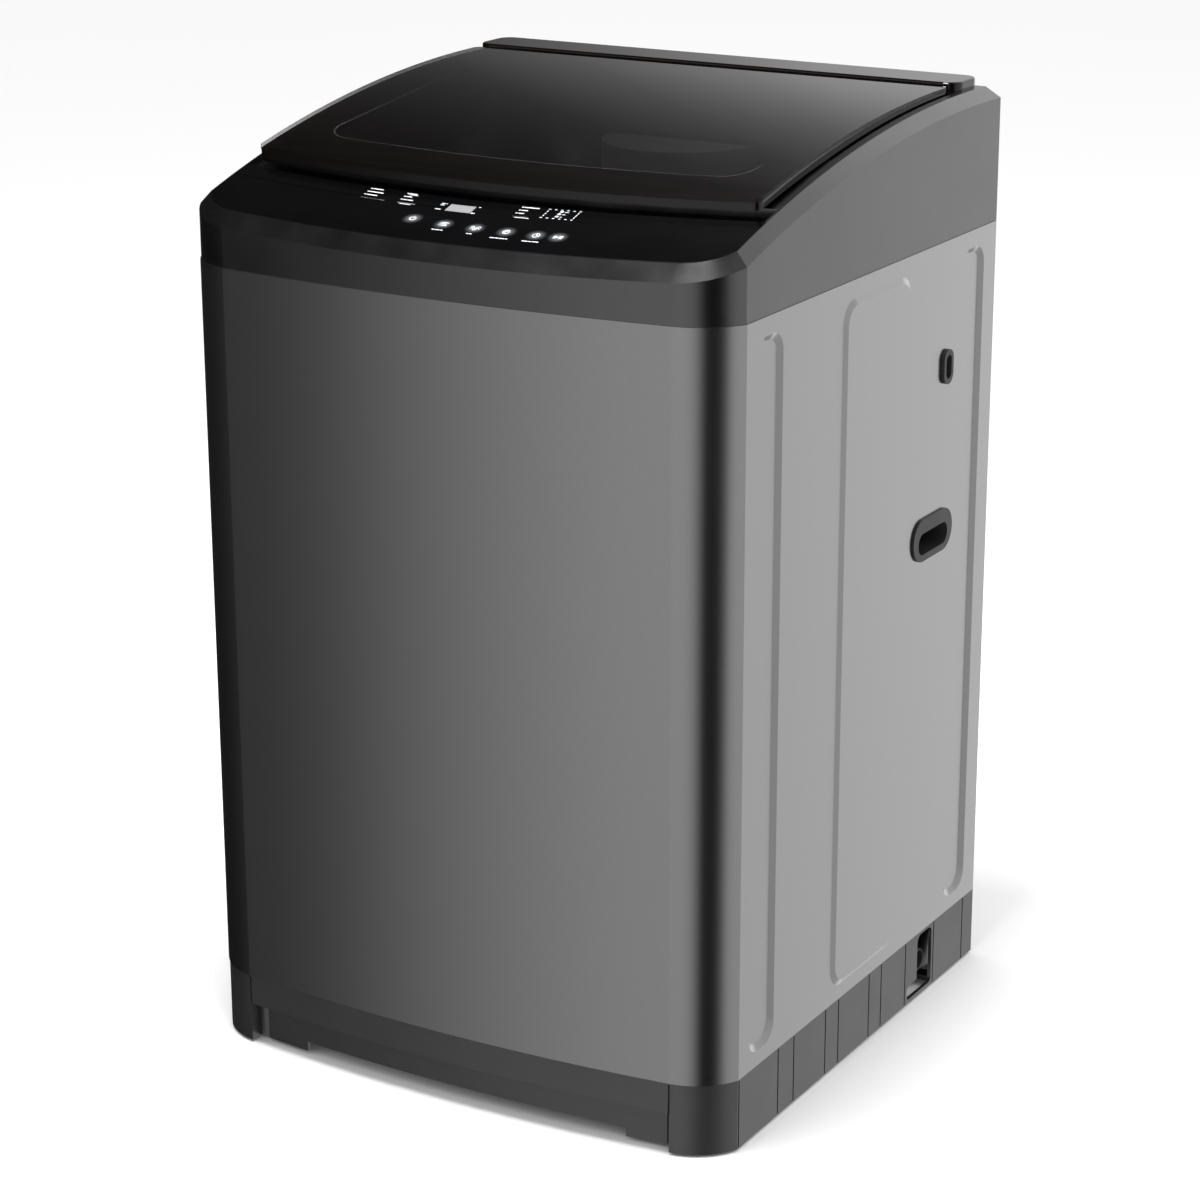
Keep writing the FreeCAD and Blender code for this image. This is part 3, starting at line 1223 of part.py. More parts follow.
def drain_bellows():
    z0, z1 = BELLOWS_BOTTOM, TUB_BOTTOM - 8
    inner, outer = 16.3, 22.0
    turns = 12
    start = z0 + 12
    pitch = (z1 - 14 - start) / turns
    points = [(inner, z0), (inner + 2.5, z0), (inner + 2.5, start)]
    for i in range(turns):
        points += [(outer, start + pitch * (i + 0.5)), (inner + 2.5, start + pitch * (i + 1))]
    points += [(inner + 2.5, z1), (inner, z1)]
    for i in range(turns, 0, -1):
        points += [(inner, start + pitch * i), (outer - 2.5, start + pitch * (i - 0.5))]
    points += [(inner, start)]
    return revolved(points).translated(V(SUMP_X, SUMP_Y, 0))


# ---------------------------------------------------------------- every node

def all_nodes():
    right_grip = side_grip()
    feet = foot_places()
    holes = screw_holes()
    return {
        "cabinet_wrap": cabinet_wrap().cut(holes),
        "rear_panel": rear_panel().cut(holes),
        "rear_access_cover": rear_access_cover().cut(holes),
        "rear_screws": rear_screws(),
        "corner_brackets": corner_brackets(),
        "side_grip_right": right_grip,
        "side_grip_left": mirrored(right_grip),
        "cord_outlet_bush": cord_outlet_bush(),
        "base_frame": base_frame(),
        "foot_front_left": foot(*feet[0]),
        "foot_front_right": foot(*feet[1]),
        "rear_feet": Part.Compound([foot(*feet[2]), foot(*feet[3])]),
        "foot_lock_nuts": Part.Compound([lock_nut(x, y) for x, y in feet]),
        "top_cover": top_cover(),
        "lid_hinge_pins": lid_hinge_pins(),
        "rear_deck": rear_deck(),
        "control_panel": control_panel(),
        "display_window": display_window(),
        "board_tray": board_tray(),
        "control_board": control_board(),
        "touch_springs": touch_springs(),
        "power_board_case": power_board_case(),
        "lid_glass": lid_glass(),
        "lid_frame": lid_frame(),
        "lid_bumpers": lid_bumpers(),
        "lid_lock_housing": lid_lock_housing(),
        "lid_lock_bolt": lid_lock_bolt(),
        "dispenser_housing": dispenser_housing(),
        "detergent_drawer": detergent_drawer(),
        "inlet_valve": inlet_valve(),
        "pressure_sensor": pressure_sensor(),
        "pressure_tube": pressure_tube(),
        "air_trap": air_trap(),
        "outer_tub": outer_tub(),
        "tub_cover": tub_cover(),
        "suspension_cups": suspension_cups(),
        "suspension_rods": suspension_rods(),
        "suspension_springs": suspension_springs(),
        "clutch_housing": clutch_housing(),
        "housing_bolts": housing_bolts(),
        "stator": stator(),
        "bearing_upper": bearing(TUB_BOTTOM - 22, TUB_BOTTOM - 6),
        "bearing_lower": bearing(BARREL_BOTTOM + 4, BARREL_BOTTOM + 18),
        "shaft_seal": shaft_seal(),
        "clutch_actuator": clutch_actuator(),
        "drum_shell": drum_shell(),
        "drum_base": drum_base(),
        "balance_ring": balance_ring(),
        "lint_filters": lint_filters(),
        "spin_tube": spin_tube(),
        "pulsator": pulsator(),
        "agitator_shaft": agitator_shaft(),
        "rotor": rotor(),
        "shaft_fasteners": shaft_fasteners(),
        "clutch_coupler": clutch_coupler(),
        "clutch_lever": clutch_lever(),
        "drain_pump": drain_pump(),
        "drain_spigot": drain_spigot(),
        "drain_bellows": drain_bellows(),
    }


os.makedirs("parts", exist_ok=True)
for name, shape in all_nodes().items():
    shape.exportStep(os.path.join("parts", name + ".step"))
    print(f"{name:22s} solids {len(shape.Solids)} valid {shape.isValid()} volume {shape.Volume / 1000:.1f} cm3")
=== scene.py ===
import math

import bmesh
import bpy
from mathutils import Euler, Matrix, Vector
from mathutils.bvhtree import BVHTree


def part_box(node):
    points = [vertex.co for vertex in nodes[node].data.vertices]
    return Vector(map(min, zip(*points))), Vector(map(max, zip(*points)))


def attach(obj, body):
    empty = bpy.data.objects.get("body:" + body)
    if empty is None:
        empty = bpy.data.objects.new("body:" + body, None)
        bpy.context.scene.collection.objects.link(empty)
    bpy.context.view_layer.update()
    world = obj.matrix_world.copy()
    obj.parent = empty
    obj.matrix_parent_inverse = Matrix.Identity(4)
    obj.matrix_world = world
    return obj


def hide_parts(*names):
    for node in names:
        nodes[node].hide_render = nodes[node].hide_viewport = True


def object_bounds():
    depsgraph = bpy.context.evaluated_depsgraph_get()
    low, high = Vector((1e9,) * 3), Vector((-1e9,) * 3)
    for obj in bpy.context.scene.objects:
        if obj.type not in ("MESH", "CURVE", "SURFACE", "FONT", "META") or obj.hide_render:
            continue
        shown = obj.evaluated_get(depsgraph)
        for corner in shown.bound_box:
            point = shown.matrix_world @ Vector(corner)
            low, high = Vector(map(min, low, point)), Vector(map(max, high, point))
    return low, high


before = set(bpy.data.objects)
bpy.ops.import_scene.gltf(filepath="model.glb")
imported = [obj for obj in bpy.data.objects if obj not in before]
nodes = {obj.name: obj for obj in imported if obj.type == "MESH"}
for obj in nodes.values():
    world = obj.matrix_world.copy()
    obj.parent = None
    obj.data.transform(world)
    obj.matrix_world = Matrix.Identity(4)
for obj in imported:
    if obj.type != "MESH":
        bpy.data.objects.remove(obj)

# Everything is in metres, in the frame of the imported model: +Z up, the front faces -Y.

MM = 0.001
cad_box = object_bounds()

HEIGHT = cad_box[1][2]
FRONT_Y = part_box("cabinet_wrap")[0][1]
BOW_RADIUS = 2.201          # of the bowed front, seen from above


# ---------------------------------------------------------------- node helpers

class Shader:
    """A material's node tree, built one node at a time."""

    def __init__(self, name):
        self.material = bpy.data.materials.new(name)
        self.material.use_nodes = True
        self.tree = self.material.node_tree
        self.tree.nodes.clear()
        self.place = self.add("ShaderNodeTexCoord").outputs["Object"]

    def add(self, kind, values=None, **settings):
        made = self.tree.nodes.new(kind)
        for key, value in settings.items():
            setattr(made, key, value)
        for key, value in (values or {}).items():
            if isinstance(value, bpy.types.NodeSocket):
                self.tree.links.new(value, made.inputs[key])
            else:
                made.inputs[key].default_value = value
        return made

    def stretched(self, scale):
        """Object coordinates, scaled along each axis."""
        return self.add("ShaderNodeMapping", {"Vector": self.place, "Scale": scale}).outputs[0]

    def noise(self, scale, detail=3.0, roughness=0.5, place=None):
        values = {"Vector": place or self.place, "Scale": scale, "Detail": detail,
                  "Roughness": roughness}
        return self.add("ShaderNodeTexNoise", values).outputs["Fac"]

    def math(self, operation, a, b=0.0):
        return self.add("ShaderNodeMath", {0: a, 1: b}, operation=operation).outputs[0]

    def spread(self, factor, start, end, low=0.3, high=0.7, smooth=False):
        """The factor's range low..high mapped to start..end."""
        kind = "SMOOTHSTEP" if smooth else "LINEAR"
        values = {"Value": factor, "From Min": low, "From Max": high, "To Min": start, "To Max": end}
        return self.add("ShaderNodeMapRange", values, interpolation_type=kind).outputs[0]

    def blend(self, factor, a, b):
        """Colours a and b mixed."""
        made = self.add("ShaderNodeMix", {"Factor": factor}, data_type="RGBA")
        for socket, value in ((made.inputs[6], a), (made.inputs[7], b)):
            if isinstance(value, bpy.types.NodeSocket):
                self.tree.links.new(value, socket)
            else:
                socket.default_value = (*value, 1.0)
        return made.outputs[2]

    def tones(self, factor, colour, change):
        """The colour, darker and lighter by a share."""
        return self.blend(factor, tuple(c * (1 - change) for c in colour),
                          tuple(c * (1 + change) for c in colour))

    def bump(self, height, depth, normal=None):
        values = {"Height": height, "Distance": depth, "Strength": 1.0}
        if normal is not None:
            values["Normal"] = normal
        return self.add("ShaderNodeBump", values).outputs[0]

    def finish(self, **inputs):
        """The Principled shader, its inputs given with _ for spaces."""
        values = {key.replace("_", " "): value for key, value in inputs.items()}
        shader = self.add("ShaderNodeBsdfPrincipled", values)
        self.output(shader.outputs[0])
        return self.material

    def output(self, surface):
        self.add("ShaderNodeOutputMaterial", {"Surface": surface})


def grey(level):
    return (level, level, level * 1.01)


# ---------------------------------------------------------------- materials

def metallic_paint():
    """Satin grey paint with fine metal flake over slight orange peel."""
    s = Shader("cabinet_paint")
    flake = s.add("ShaderNodeTexVoronoi", {"Vector": s.place, "Scale": 2600.0}).outputs["Color"]
    sparkle = s.add("ShaderNodeSeparateColor", {0: flake}).outputs[0]
    cloud = s.noise(5.0, 2.0)
    base = s.tones(s.spread(sparkle, 0.0, 1.0, 0.0, 1.0), grey(0.50), 0.06)
    base = s.blend(s.spread(cloud, 0.0, 0.02), base, grey(0.55))
    peel = s.noise(900.0, 1.0)
    rough = s.math("ADD", s.spread(s.noise(3.0, 2.0), 0.205, 0.215),
                   s.spread(sparkle, -0.02, 0.02, 0.0, 1.0))
    return s.finish(Base_Color=base, Metallic=1.0, Roughness=rough, Normal=s.bump(peel, 0.000002))


def moulded(name, colour, roughness, grain, depth, metallic=0.0, change=0.08, specular=0.5):
    """Moulded plastic with a fine spark-eroded grain."""
    s = Shader(name)
    fine = s.noise(grain, 2.0, 0.6)
    wide = s.noise(9.0, 3.0)
    base = s.tones(s.math("ADD", s.spread(fine, 0.0, 0.5), s.spread(wide, 0.0, 0.5)), colour, change)
    rough = s.spread(s.noise(24.0, 4.0), roughness - 0.03, roughness + 0.03)
    return s.finish(Base_Color=base, Metallic=metallic, Roughness=rough, Normal=s.bump(fine, depth),
                    Specular_IOR_Level=specular)


def zinc_plate():
    """Galvanised sheet: flat crystals of slightly different greys."""
    s = Shader("zinc_steel")
    cells = s.add("ShaderNodeTexVoronoi", {"Vector": s.place, "Scale": 95.0, "Randomness": 1.0})
    tone = s.add("ShaderNodeSeparateColor", {0: cells.outputs["Color"]}).outputs[0]
    base = s.tones(s.spread(tone, 0.0, 1.0, 0.0, 1.0), (0.55, 0.56, 0.575), 0.10)
    rough = s.math("ADD", s.spread(tone, 0.34, 0.46, 0.0, 1.0), s.spread(s.noise(60.0), -0.03, 0.03))
    return s.finish(Base_Color=base, Metallic=0.9, Roughness=rough, Normal=s.bump(s.noise(300.0), 0.00002))


def turned_steel():
    """Bright steel with faint turning marks across Z."""
    s = Shader("bright_steel")
    lines = s.noise(1.0, 3.0, 0.7, s.stretched((40.0, 40.0, 2600.0)))
    base = s.tones(s.spread(lines, 0.0, 1.0), (0.62, 0.62, 0.63), 0.07)
    rough = s.spread(s.noise(60.0, 4.0), 0.20, 0.32)
    return s.finish(Base_Color=base, Metallic=1.0, Roughness=rough, Normal=s.bump(lines, 0.00002))


def brushed_stainless():
    """Drum steel, brushed up and down, in slightly uneven tones."""
    s = Shader("stainless")
    lines = s.noise(1.0, 2.0, 0.7, s.stretched((1900.0, 1900.0, 26.0)))
    wide = s.noise(7.0, 3.0)
    both = s.math("ADD", s.spread(lines, 0.0, 0.5), s.spread(wide, 0.0, 0.5))
    base = s.tones(both, (0.66, 0.66, 0.67), 0.07)
    rough = s.spread(lines, 0.22, 0.34)
    return s.finish(Base_Color=base, Metallic=1.0, Roughness=rough, Normal=s.bump(lines, 0.00003))


def rubber():
    """Matt rubber with a dusty bloom."""
    s = Shader("rubber")
    fine = s.noise(900.0, 3.0, 0.7)
    bloom = s.noise(40.0, 4.0)
    base = s.blend(s.spread(bloom, 0.0, 0.35), (0.018, 0.018, 0.018), (0.06, 0.06, 0.058))
    return s.finish(Base_Color=base, Roughness=s.spread(fine, 0.66, 0.82), Normal=s.bump(fine, 0.00006),
                    Specular_IOR_Level=0.35)


def gloss_black(name, colour, keys=()):
    """Polished black, with the faint haze of handling and, if it has touch keys, a painted glow round each of
    them.
    """
    s = Shader(name)
    haze = s.noise(16.0, 5.0, 0.6)
    specks = s.noise(700.0, 1.0)
    base = s.blend(s.spread(haze, 0.0, 1.0), colour, tuple(c * 1.35 for c in colour))
    rough = s.math("ADD", s.spread(haze, 0.05, 0.12), s.spread(specks, 0.0, 0.02, 0.6, 0.8))
    inputs = {"Base_Color": base, "Roughness": rough, "Coat_Weight": 0.5, "Coat_Roughness": 0.04,
              "Normal": s.bump(s.noise(55.0, 1.0), 0.00002)}
    if keys:
        # painted glow: a soft grey emission round each touch key, though the panel holds no lamp
        painted_glow = None
        for key in keys:
            flat = s.add("ShaderNodeVectorMath", {0: s.place, 1: key}, operation="SUBTRACT").outputs[0]
            flat = s.add("ShaderNodeVectorMath", {0: flat, 1: (0.85, 1.0, 0.0)}, operation="MULTIPLY").outputs[0]
            away = s.add("ShaderNodeVectorMath", {0: flat}, operation="LENGTH").outputs["Value"]
            painted_glow_spot = s.spread(away, 1.0, 0.0, 0.001, PAINTED_KEY_GLOW, True)
            painted_glow = painted_glow_spot if painted_glow is None else s.math("MAXIMUM", painted_glow, painted_glow_spot)
        soft = s.math("POWER", painted_glow, 1.6)
        inputs["Emission_Color"] = s.blend(soft, (0.0, 0.0, 0.0), (0.30, 0.31, 0.33))
        inputs["Emission_Strength"] = 1.0
    return s.finish(**inputs)


def smoked_display():
    """The unlit display: smoked grey over a lattice of dark segments, with a painted glow over it."""
    s = Shader("display")
    split = s.add("ShaderNodeSeparateXYZ", {0: s.place})
    rows = s.math("FRACT", s.math("MULTIPLY", split.outputs[1], 900.0))
    columns = s.math("FRACT", s.math("MULTIPLY", split.outputs[0], 900.0))
    dots = s.math("MULTIPLY", s.spread(rows, 0.0, 1.0, 0.1, 0.3), s.spread(columns, 0.0, 1.0, 0.1, 0.3))
    base = s.blend(dots, (0.19, 0.19, 0.19), (0.215, 0.218, 0.222))
    # the emission is a painted glow on a display that is not lit
    return s.finish(Base_Color=base, Roughness=s.spread(s.noise(120.0), 0.16, 0.24),
                    Emission_Color=(0.10, 0.10, 0.102, 1.0), Emission_Strength=0.6)


def circuit_board():
    """Green solder mask with copper tracks showing through."""
    s = Shader("board")
    grid = s.add("ShaderNodeTexVoronoi", {"Vector": s.place, "Scale": 260.0}, distance="CHEBYCHEV")
    tracks = s.spread(grid.outputs["Distance"], 1.0, 0.0, 0.35, 0.45)
    base = s.blend(tracks, (0.012, 0.10, 0.035), (0.04, 0.22, 0.08))
    return s.finish(Base_Color=base, Roughness=s.spread(s.noise(200.0), 0.25, 0.4),
                    Normal=s.bump(tracks, 0.00004))


def motor_core():
    """Laminated core with varnished copper windings between its teeth."""
    s = Shader("motor_core")
    split = s.add("ShaderNodeSeparateXYZ", {0: s.place})
    angle = s.math("ARCTAN2", split.outputs[1], split.outputs[0])
    teeth = s.math("FRACT", s.math("MULTIPLY", angle, 36 / (2 * math.pi)))
    wire = s.math("FRACT", s.math("MULTIPLY", split.outputs[2], 900.0))
    coil = s.spread(teeth, 0.0, 1.0, 0.22, 0.28)
    copper = s.blend(s.spread(wire, 0.0, 1.0, 0.2, 0.6), (0.16, 0.045, 0.012), (0.48, 0.17, 0.05))
    base = s.blend(coil, (0.22, 0.22, 0.23), copper)
    return s.finish(Base_Color=base, Metallic=0.7, Roughness=s.spread(s.noise(150.0), 0.3, 0.45),
                    Normal=s.bump(wire, 0.0002))


def tinted_glass():
    """Dark tinted safety glass: clearer when looked down into, mirror-like at a low angle."""
    s = Shader("lid_glass")
    haze = s.noise(14.0, 4.0)
    base = s.blend(s.spread(haze, 0.0, 1.0), (0.0008, 0.0005, 0.0004), (0.0012, 0.0008, 0.0006))
    grazing = s.add("ShaderNodeLayerWeight", {"Blend": 0.5}).outputs["Facing"]
    alpha = s.spread(grazing, GLASS_CLEAR, GLASS_DENSE, 0.50, 0.80, True)
    return s.finish(Base_Color=base, Roughness=s.spread(haze, 0.015, 0.035), Alpha=alpha,
                    Coat_Weight=0.6, Coat_Roughness=0.02, Specular_IOR_Level=0.6)


def printed_white():
    """Printed marks, with a painted glow as if lit from behind."""
    s = Shader("printed_marks")
    ink = s.noise(800.0, 2.0)
    base = s.tones(s.spread(ink, 0.0, 1.0), (0.72, 0.73, 0.75), 0.08)
    # painted glow: the marks' emission stands in for light, as no lamp lies behind them
    painted_glow = s.tones(s.spread(ink, 0.0, 1.0), (0.62, 0.63, 0.66), 0.08)
    return s.finish(Base_Color=base, Roughness=0.4, Emission_Color=painted_glow, Emission_Strength=0.55)


PAINTED_KEY_GLOW = 0.0115            # radius of the painted glow round a touch key
GLASS_CLEAR = 0.18           # how much the glass hides, looked down into
GLASS_DENSE = 0.90           # and at a low angle


# ---------------------------------------------------------------- mesh helpers

def new_piece(name, mesh, body, material):
    """An object in the frame that rides on a body."""
    piece = bpy.data.objects.new(name, mesh)
    bpy.context.scene.collection.objects.link(piece)
    mesh.materials.append(material)
    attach(piece, body)
    return piece


def surface_of(node):
    """A tree for casting rays at a CAD node."""
    mesh = nodes[node].data
    return BVHTree.FromPolygons([v.co for v in mesh.vertices], [p.vertices for p in mesh.polygons])


def bow_y(x, back):
    """Y of a line that follows the bow, a distance back from its crown."""
    return FRONT_Y + back + BOW_RADIUS - math.sqrt(BOW_RADIUS ** 2 - x ** 2)


# ---------------------------------------------------------------- marks on the control panel

class Marks:
    """Flat shapes laid on the control panel.

    u runs right and v back from the bow's crown, in millimetres.
    """

    LIFT = 0.12 * MM

    def __init__(self):
        self.mesh = bmesh.new()
        self.surface = surface_of("control_panel")

    def vertex(self, u, v):
        x = u * MM
        start = Vector((x, bow_y(x, v * MM), HEIGHT + 0.1))
        hit, normal, _, _ = self.surface.ray_cast(start, Vector((0, 0, -1)))
        if hit is None:
            raise ValueError(f"the mark at {u}, {v} is off the panel")
        if normal.z < 0:
            normal = -normal
        return self.mesh.verts.new(hit + normal * self.LIFT)

    def shape(self, points):
        self.mesh.faces.new([self.vertex(u, v) for u, v in points])

    def bar(self, u0, v0, u1, v1, thick):
        """A stroke with square ends."""
        along = Vector((u1 - u0, v1 - v0)).normalized()
        side = Vector((-along.y, along.x)) * thick / 2
        self.shape([(u0 - side.x, v0 - side.y), (u1 - side.x, v1 - side.y), (u1 + side.x, v1 + side.y),
                    (u0 + side.x, v0 + side.y)])

    def arc(self, u, v, radius, thick, start=0.0, end=360.0, steps=20):
        """Part of a ring; angles from +u towards +v."""
        for i in range(steps):
            a, b = (math.radians(start + (end - start) * j / steps) for j in (i, i + 1))
            inner, outer = radius - thick / 2, radius + thick / 2
            self.shape([(u + inner * math.cos(a), v + inner * math.sin(a)),
                        (u + outer * math.cos(a), v + outer * math.sin(a)),
                        (u + outer * math.cos(b), v + outer * math.sin(b)),
                        (u + inner * math.cos(b), v + inner * math.sin(b))])

    def dot(self, u, v, radius, steps=10):
        turn = [2 * math.pi * i / steps for i in range(steps)]
        self.shape([(u + radius * math.cos(a), v + radius * math.sin(a)) for a in turn])

    def words(self, u, v, lengths, height=1.3, gap=1.1):
        """A stand-in for a caption: a row of short bars."""
        for length in lengths:
            self.bar(u, v, u + length, v, height)
            u += length + gap

    def build(self, name, material):
        mesh = bpy.data.meshes.new(name)
        bmesh.ops.recalc_face_normals(self.mesh, faces=self.mesh.faces)
        self.mesh.to_mesh(mesh)
        self.mesh.free()
        return new_piece(name, mesh, "cabinet", material)


POWER_KEY = (-52.0, 51.0)
MIDDLE_KEYS = ((-13.0, 48.0), (24.0, 47.0), (60.0, 46.0), (94.0, 45.0))
START_KEY = (118.0, 45.0)


def key_marks(material):
    """Symbols of the six touch keys."""
    marks = Marks()
    u, v = POWER_KEY
    marks.arc(u, v, 3.3, 0.8, 125, 415)
    marks.bar(u, v + 0.6, u, v + 4.6, 0.8)
    u, v = MIDDLE_KEYS[0]
    for i in range(3):
        marks.dot(u - 4.6, v - 2.6 + 2.6 * i, 0.55)
        marks.bar(u - 3.2, v - 2.6 + 2.6 * i, u + 4.6 - 1.4 * (i % 2), v - 2.6 + 2.6 * i, 0.9)
    u, v = MIDDLE_KEYS[1]
    for row in range(2):
        for i in range(3):
            marks.arc(u - 3.6 + 3.6 * i, v - 2.0 + 3.2 * row, 1.8, 0.7, 180 * (i % 2), 180 + 180 * (i % 2), 8)
    u, v = MIDDLE_KEYS[2]
    marks.arc(u, v, 3.4, 0.7)
    marks.arc(u, v, 1.5, 0.7, 0, 270, 14)
    u, v = MIDDLE_KEYS[3]
    marks.arc(u, v, 3.6, 0.7)
    marks.bar(u, v, u, v + 2.4, 0.7)
    marks.bar(u, v, u + 1.8, v, 0.7)
    u, v = START_KEY
    marks.shape([(u - 4.6, v - 2.9), (u - 4.6, v + 2.9), (u + 0.6, v)])
    marks.bar(u + 2.0, v - 2.7, u + 2.0, v + 2.7, 1.1)
    marks.bar(u + 4.2, v - 2.7, u + 4.2, v + 2.7, 1.1)
    return marks.build("key_symbols", material)


def caption_marks(material):
    """Generic stand-ins for the printed captions and programme lists."""
    marks = Marks()
    captions = ((-20.0, 36.5, (3.2, 5.4, 2.6)), (20.5, 36.0, (2.4, 3.2)), (49.0, 33.5, (5.0, 3.6, 6.4, 2.2)),
                (85.0, 33.0, (6.4, 3.4, 7.2)))
    for u, v, lengths in captions:
        marks.words(u, v, lengths, 1.1, 0.8)
    lists = (
        (-134.0, 95.5, ((2.2, 12.5), (2.2, 16.5), (2.2, 13.0), (2.2, 6.8, 18.5)), ()),
        (-88.5, 95.8, ((2.2, 9.0), (2.2, 6.4), (2.2, 4.0, 6.4), (2.2, 5.4, 11.5)), (0, 3)),
        (48.0, 95.5, ((2.2, 16.5), (2.2, 7.0), (2.2, 6.2), (2.2, 13.0)), (3,)),
    )
    for u, v, rows, doubled in lists:
        for i, lengths in enumerate(rows):
            marks.words(u, v - 6.2 * i, lengths)
            if i in doubled:
                marks.words(u + 3.3, v - 6.2 * i - 2.2, (lengths[-1] * 1.25,), 0.8)
    marks.words(-39.5, 85.5, (4.2, 1.6), 1.0)
    marks.words(-39.5, 82.6, (5.0,), 0.9)
    marks.words(-40.5, 74.0, (6.6,), 1.0)
    marks.words(4.0, 86.0, (2.4,), 1.0)
    marks.dot(3.4, 73.5, 1.1)
    marks.dot(6.0, 73.5, 0.7)
    # dotted frame with three level marks in it
    left, right, near, far = 79.0, 113.0, 79.0, 96.5
    for i in range(6):
        u = left + (right - left) * i / 5
        for v in (near, far):
            marks.bar(u - 1.3, v, u + 1.3, v, 0.9)
    for i in range(1, 4):
        v = near + (far - near) * i / 4
        for u in (left, right):
            marks.bar(u, v - 1.2, u, v + 1.2, 0.9)
    for i in range(3):
        u, v = 94.0, near + 4.2 + 5.0 * i
        marks.shape([(u - 2.0, v - 1.0), (u + 2.0, v - 1.0), (u + 1.4, v + 1.5), (u - 1.4, v + 1.5)])
        marks.bar(u + 3.6, v - 0.4, u + 6.0 + i, v - 0.4, 0.8)
    return marks.build("caption_marks", material)


# ---------------------------------------------------------------- drum

DRUM_SHEET = 0.6 * MM
DRUM_PLAIN_BAND = 18 * MM    # without dimples, below and above
DIMPLE_COLUMNS, DIMPLE_ROWS = 72, 24
DIMPLE_RADIUS = 5.2 * MM
DIMPLE_DEPTH = 1.4 * MM
DIMPLE_HOLE = 1.9 * MM       # radius of the drain hole in each dimple


def perforated_drum(material):
    """The drum's wall: rows of pressed dimples, each with a drain hole, staggered row by row."""
    node_low, node_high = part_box("drum_shell")
    radius = node_high[0] - DRUM_SHEET
    bottom, top = node_low[2], node_high[2]
    plain = DRUM_PLAIN_BAND
    columns, rows = DIMPLE_COLUMNS, DIMPLE_ROWS
    pitch = (top - bottom - 2 * plain) / rows
    hole, press, sink = DIMPLE_HOLE, DIMPLE_RADIUS, DIMPLE_DEPTH
    half = math.pi / columns
    made = bmesh.new()

    def place(angle, z, inward=0.0):
        r = radius - inward
        return (r * math.cos(angle), r * math.sin(angle), z)

    known = {}

    def corner(step, row_half):
        """A shared vertex; steps of half a column and half a row."""
        key = (step % (2 * columns), row_half)
        if key not in known:
            z = bottom + plain + pitch * row_half / 2
            known[key] = made.verts.new(place(half * key[0], z))
        return known[key]

    for row in range(rows):
        for column in range(columns):
            middle = 2 * column + row % 2
            z = bottom + plain + pitch * (row + 0.5)
            around = [(1, 0), (1, 1), (0, 1), (-1, 1), (-1, 0), (-1, -1), (0, -1), (1, -1)]
            outer = [corner(middle + du, 2 * row + 1 + dv) for du, dv in around]
            rings = []
            for size, depth in ((press, 0.0), (press * 0.62, sink), (hole, sink * 1.15)):
                ring = []
                for i in range(8):
                    turn = math.pi * i / 4
                    ring.append(made.verts.new(place(half * middle + size * math.cos(turn) / radius,
                                                     z + size * math.sin(turn), -depth + sink * 0.2)))
                rings.append(ring)
            loops = [outer] + rings
            for a, b in zip(loops, loops[1:]):
                for i in range(8):
                    j = (i + 1) % 8
                    made.faces.new((a[i], a[j], b[j], b[i]))
    # plain bands with a rolled bead, below and above
    for edge, sign in ((0, -1), (2 * rows, 1)):
        previous = [corner(i, edge) for i in range(2 * columns)]
        start = bottom + plain if sign < 0 else top - plain
        for share, inward in ((0.35, 0.0), (0.5, 0.9 * MM), (0.65, 0.9 * MM), (0.8, 0.0), (1.0, 0.0)):
            z = start + sign * plain * share
            ring = [made.verts.new(place(half * i, z, inward)) for i in range(2 * columns)]
            for i in range(2 * columns):
                j = (i + 1) % (2 * columns)
                made.faces.new((previous[i], previous[j], ring[j], ring[i]))
            previous = ring
    bmesh.ops.recalc_face_normals(made, faces=made.faces)
    for face in made.faces:
        face.smooth = True
    mesh = bpy.data.meshes.new("drum_wall")
    made.to_mesh(mesh)
    made.free()
    wall = new_piece("drum_wall", mesh, "drum", material)
    thick = wall.modifiers.new("sheet", "SOLIDIFY")
    thick.thickness = DRUM_SHEET
    thick.offset = 0.0
    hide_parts("drum_shell")


# ---------------------------------------------------------------- lid

WINDOW_HALF_WIDTH = 249.0 * MM
WINDOW_FRONT = 167.0 * MM    # crown of the bow to the window's front edge
WINDOW_REAR = 190.0 * MM
WINDOW_REAR_RADIUS = 1.736
WINDOW_CORNER = 34.0 * MM
CORNER_STEPS = 12
BEAD_RADIUS = 0.9 * MM
BEAD_SIDES = 8


def window_outline(steps=24):
    """Points round the lid's window, seen from above."""
    half = WINDOW_HALF_WIDTH
    flat = half - WINDOW_CORNER

    def rear_y(x):
        return WINDOW_REAR - WINDOW_REAR_RADIUS + math.sqrt(WINDOW_REAR_RADIUS ** 2 - x ** 2)

    across = [-flat + 2 * flat * i / steps for i in range(steps + 1)]
    front = [(x, bow_y(x, WINDOW_FRONT)) for x in across]
    rear = [(x, rear_y(x)) for x in reversed(across)]
    points = []
    for run, side, sign in ((front, half, 1), (rear, -half, -1)):
        points += run
        x, y = run[-1]
        centre = (x, y + sign * WINDOW_CORNER)
        for i in range(1, CORNER_STEPS):
            turn = math.pi / 2 * i / CORNER_STEPS
            points.append((centre[0] + sign * WINDOW_CORNER * math.sin(turn),
                           centre[1] - sign * WINDOW_CORNER * math.cos(turn)))
        points.append((side, centre[1]))
        following = (rear if run is front else front)[0]
        points.append((side, following[1] - sign * WINDOW_CORNER))
        centre = (following[0], following[1] - sign * WINDOW_CORNER)
        for i in range(1, CORNER_STEPS):
            turn = math.pi / 2 * i / CORNER_STEPS
            points.append((centre[0] + sign * WINDOW_CORNER * math.cos(turn),
                           centre[1] + sign * WINDOW_CORNER * math.sin(turn)))
    return points


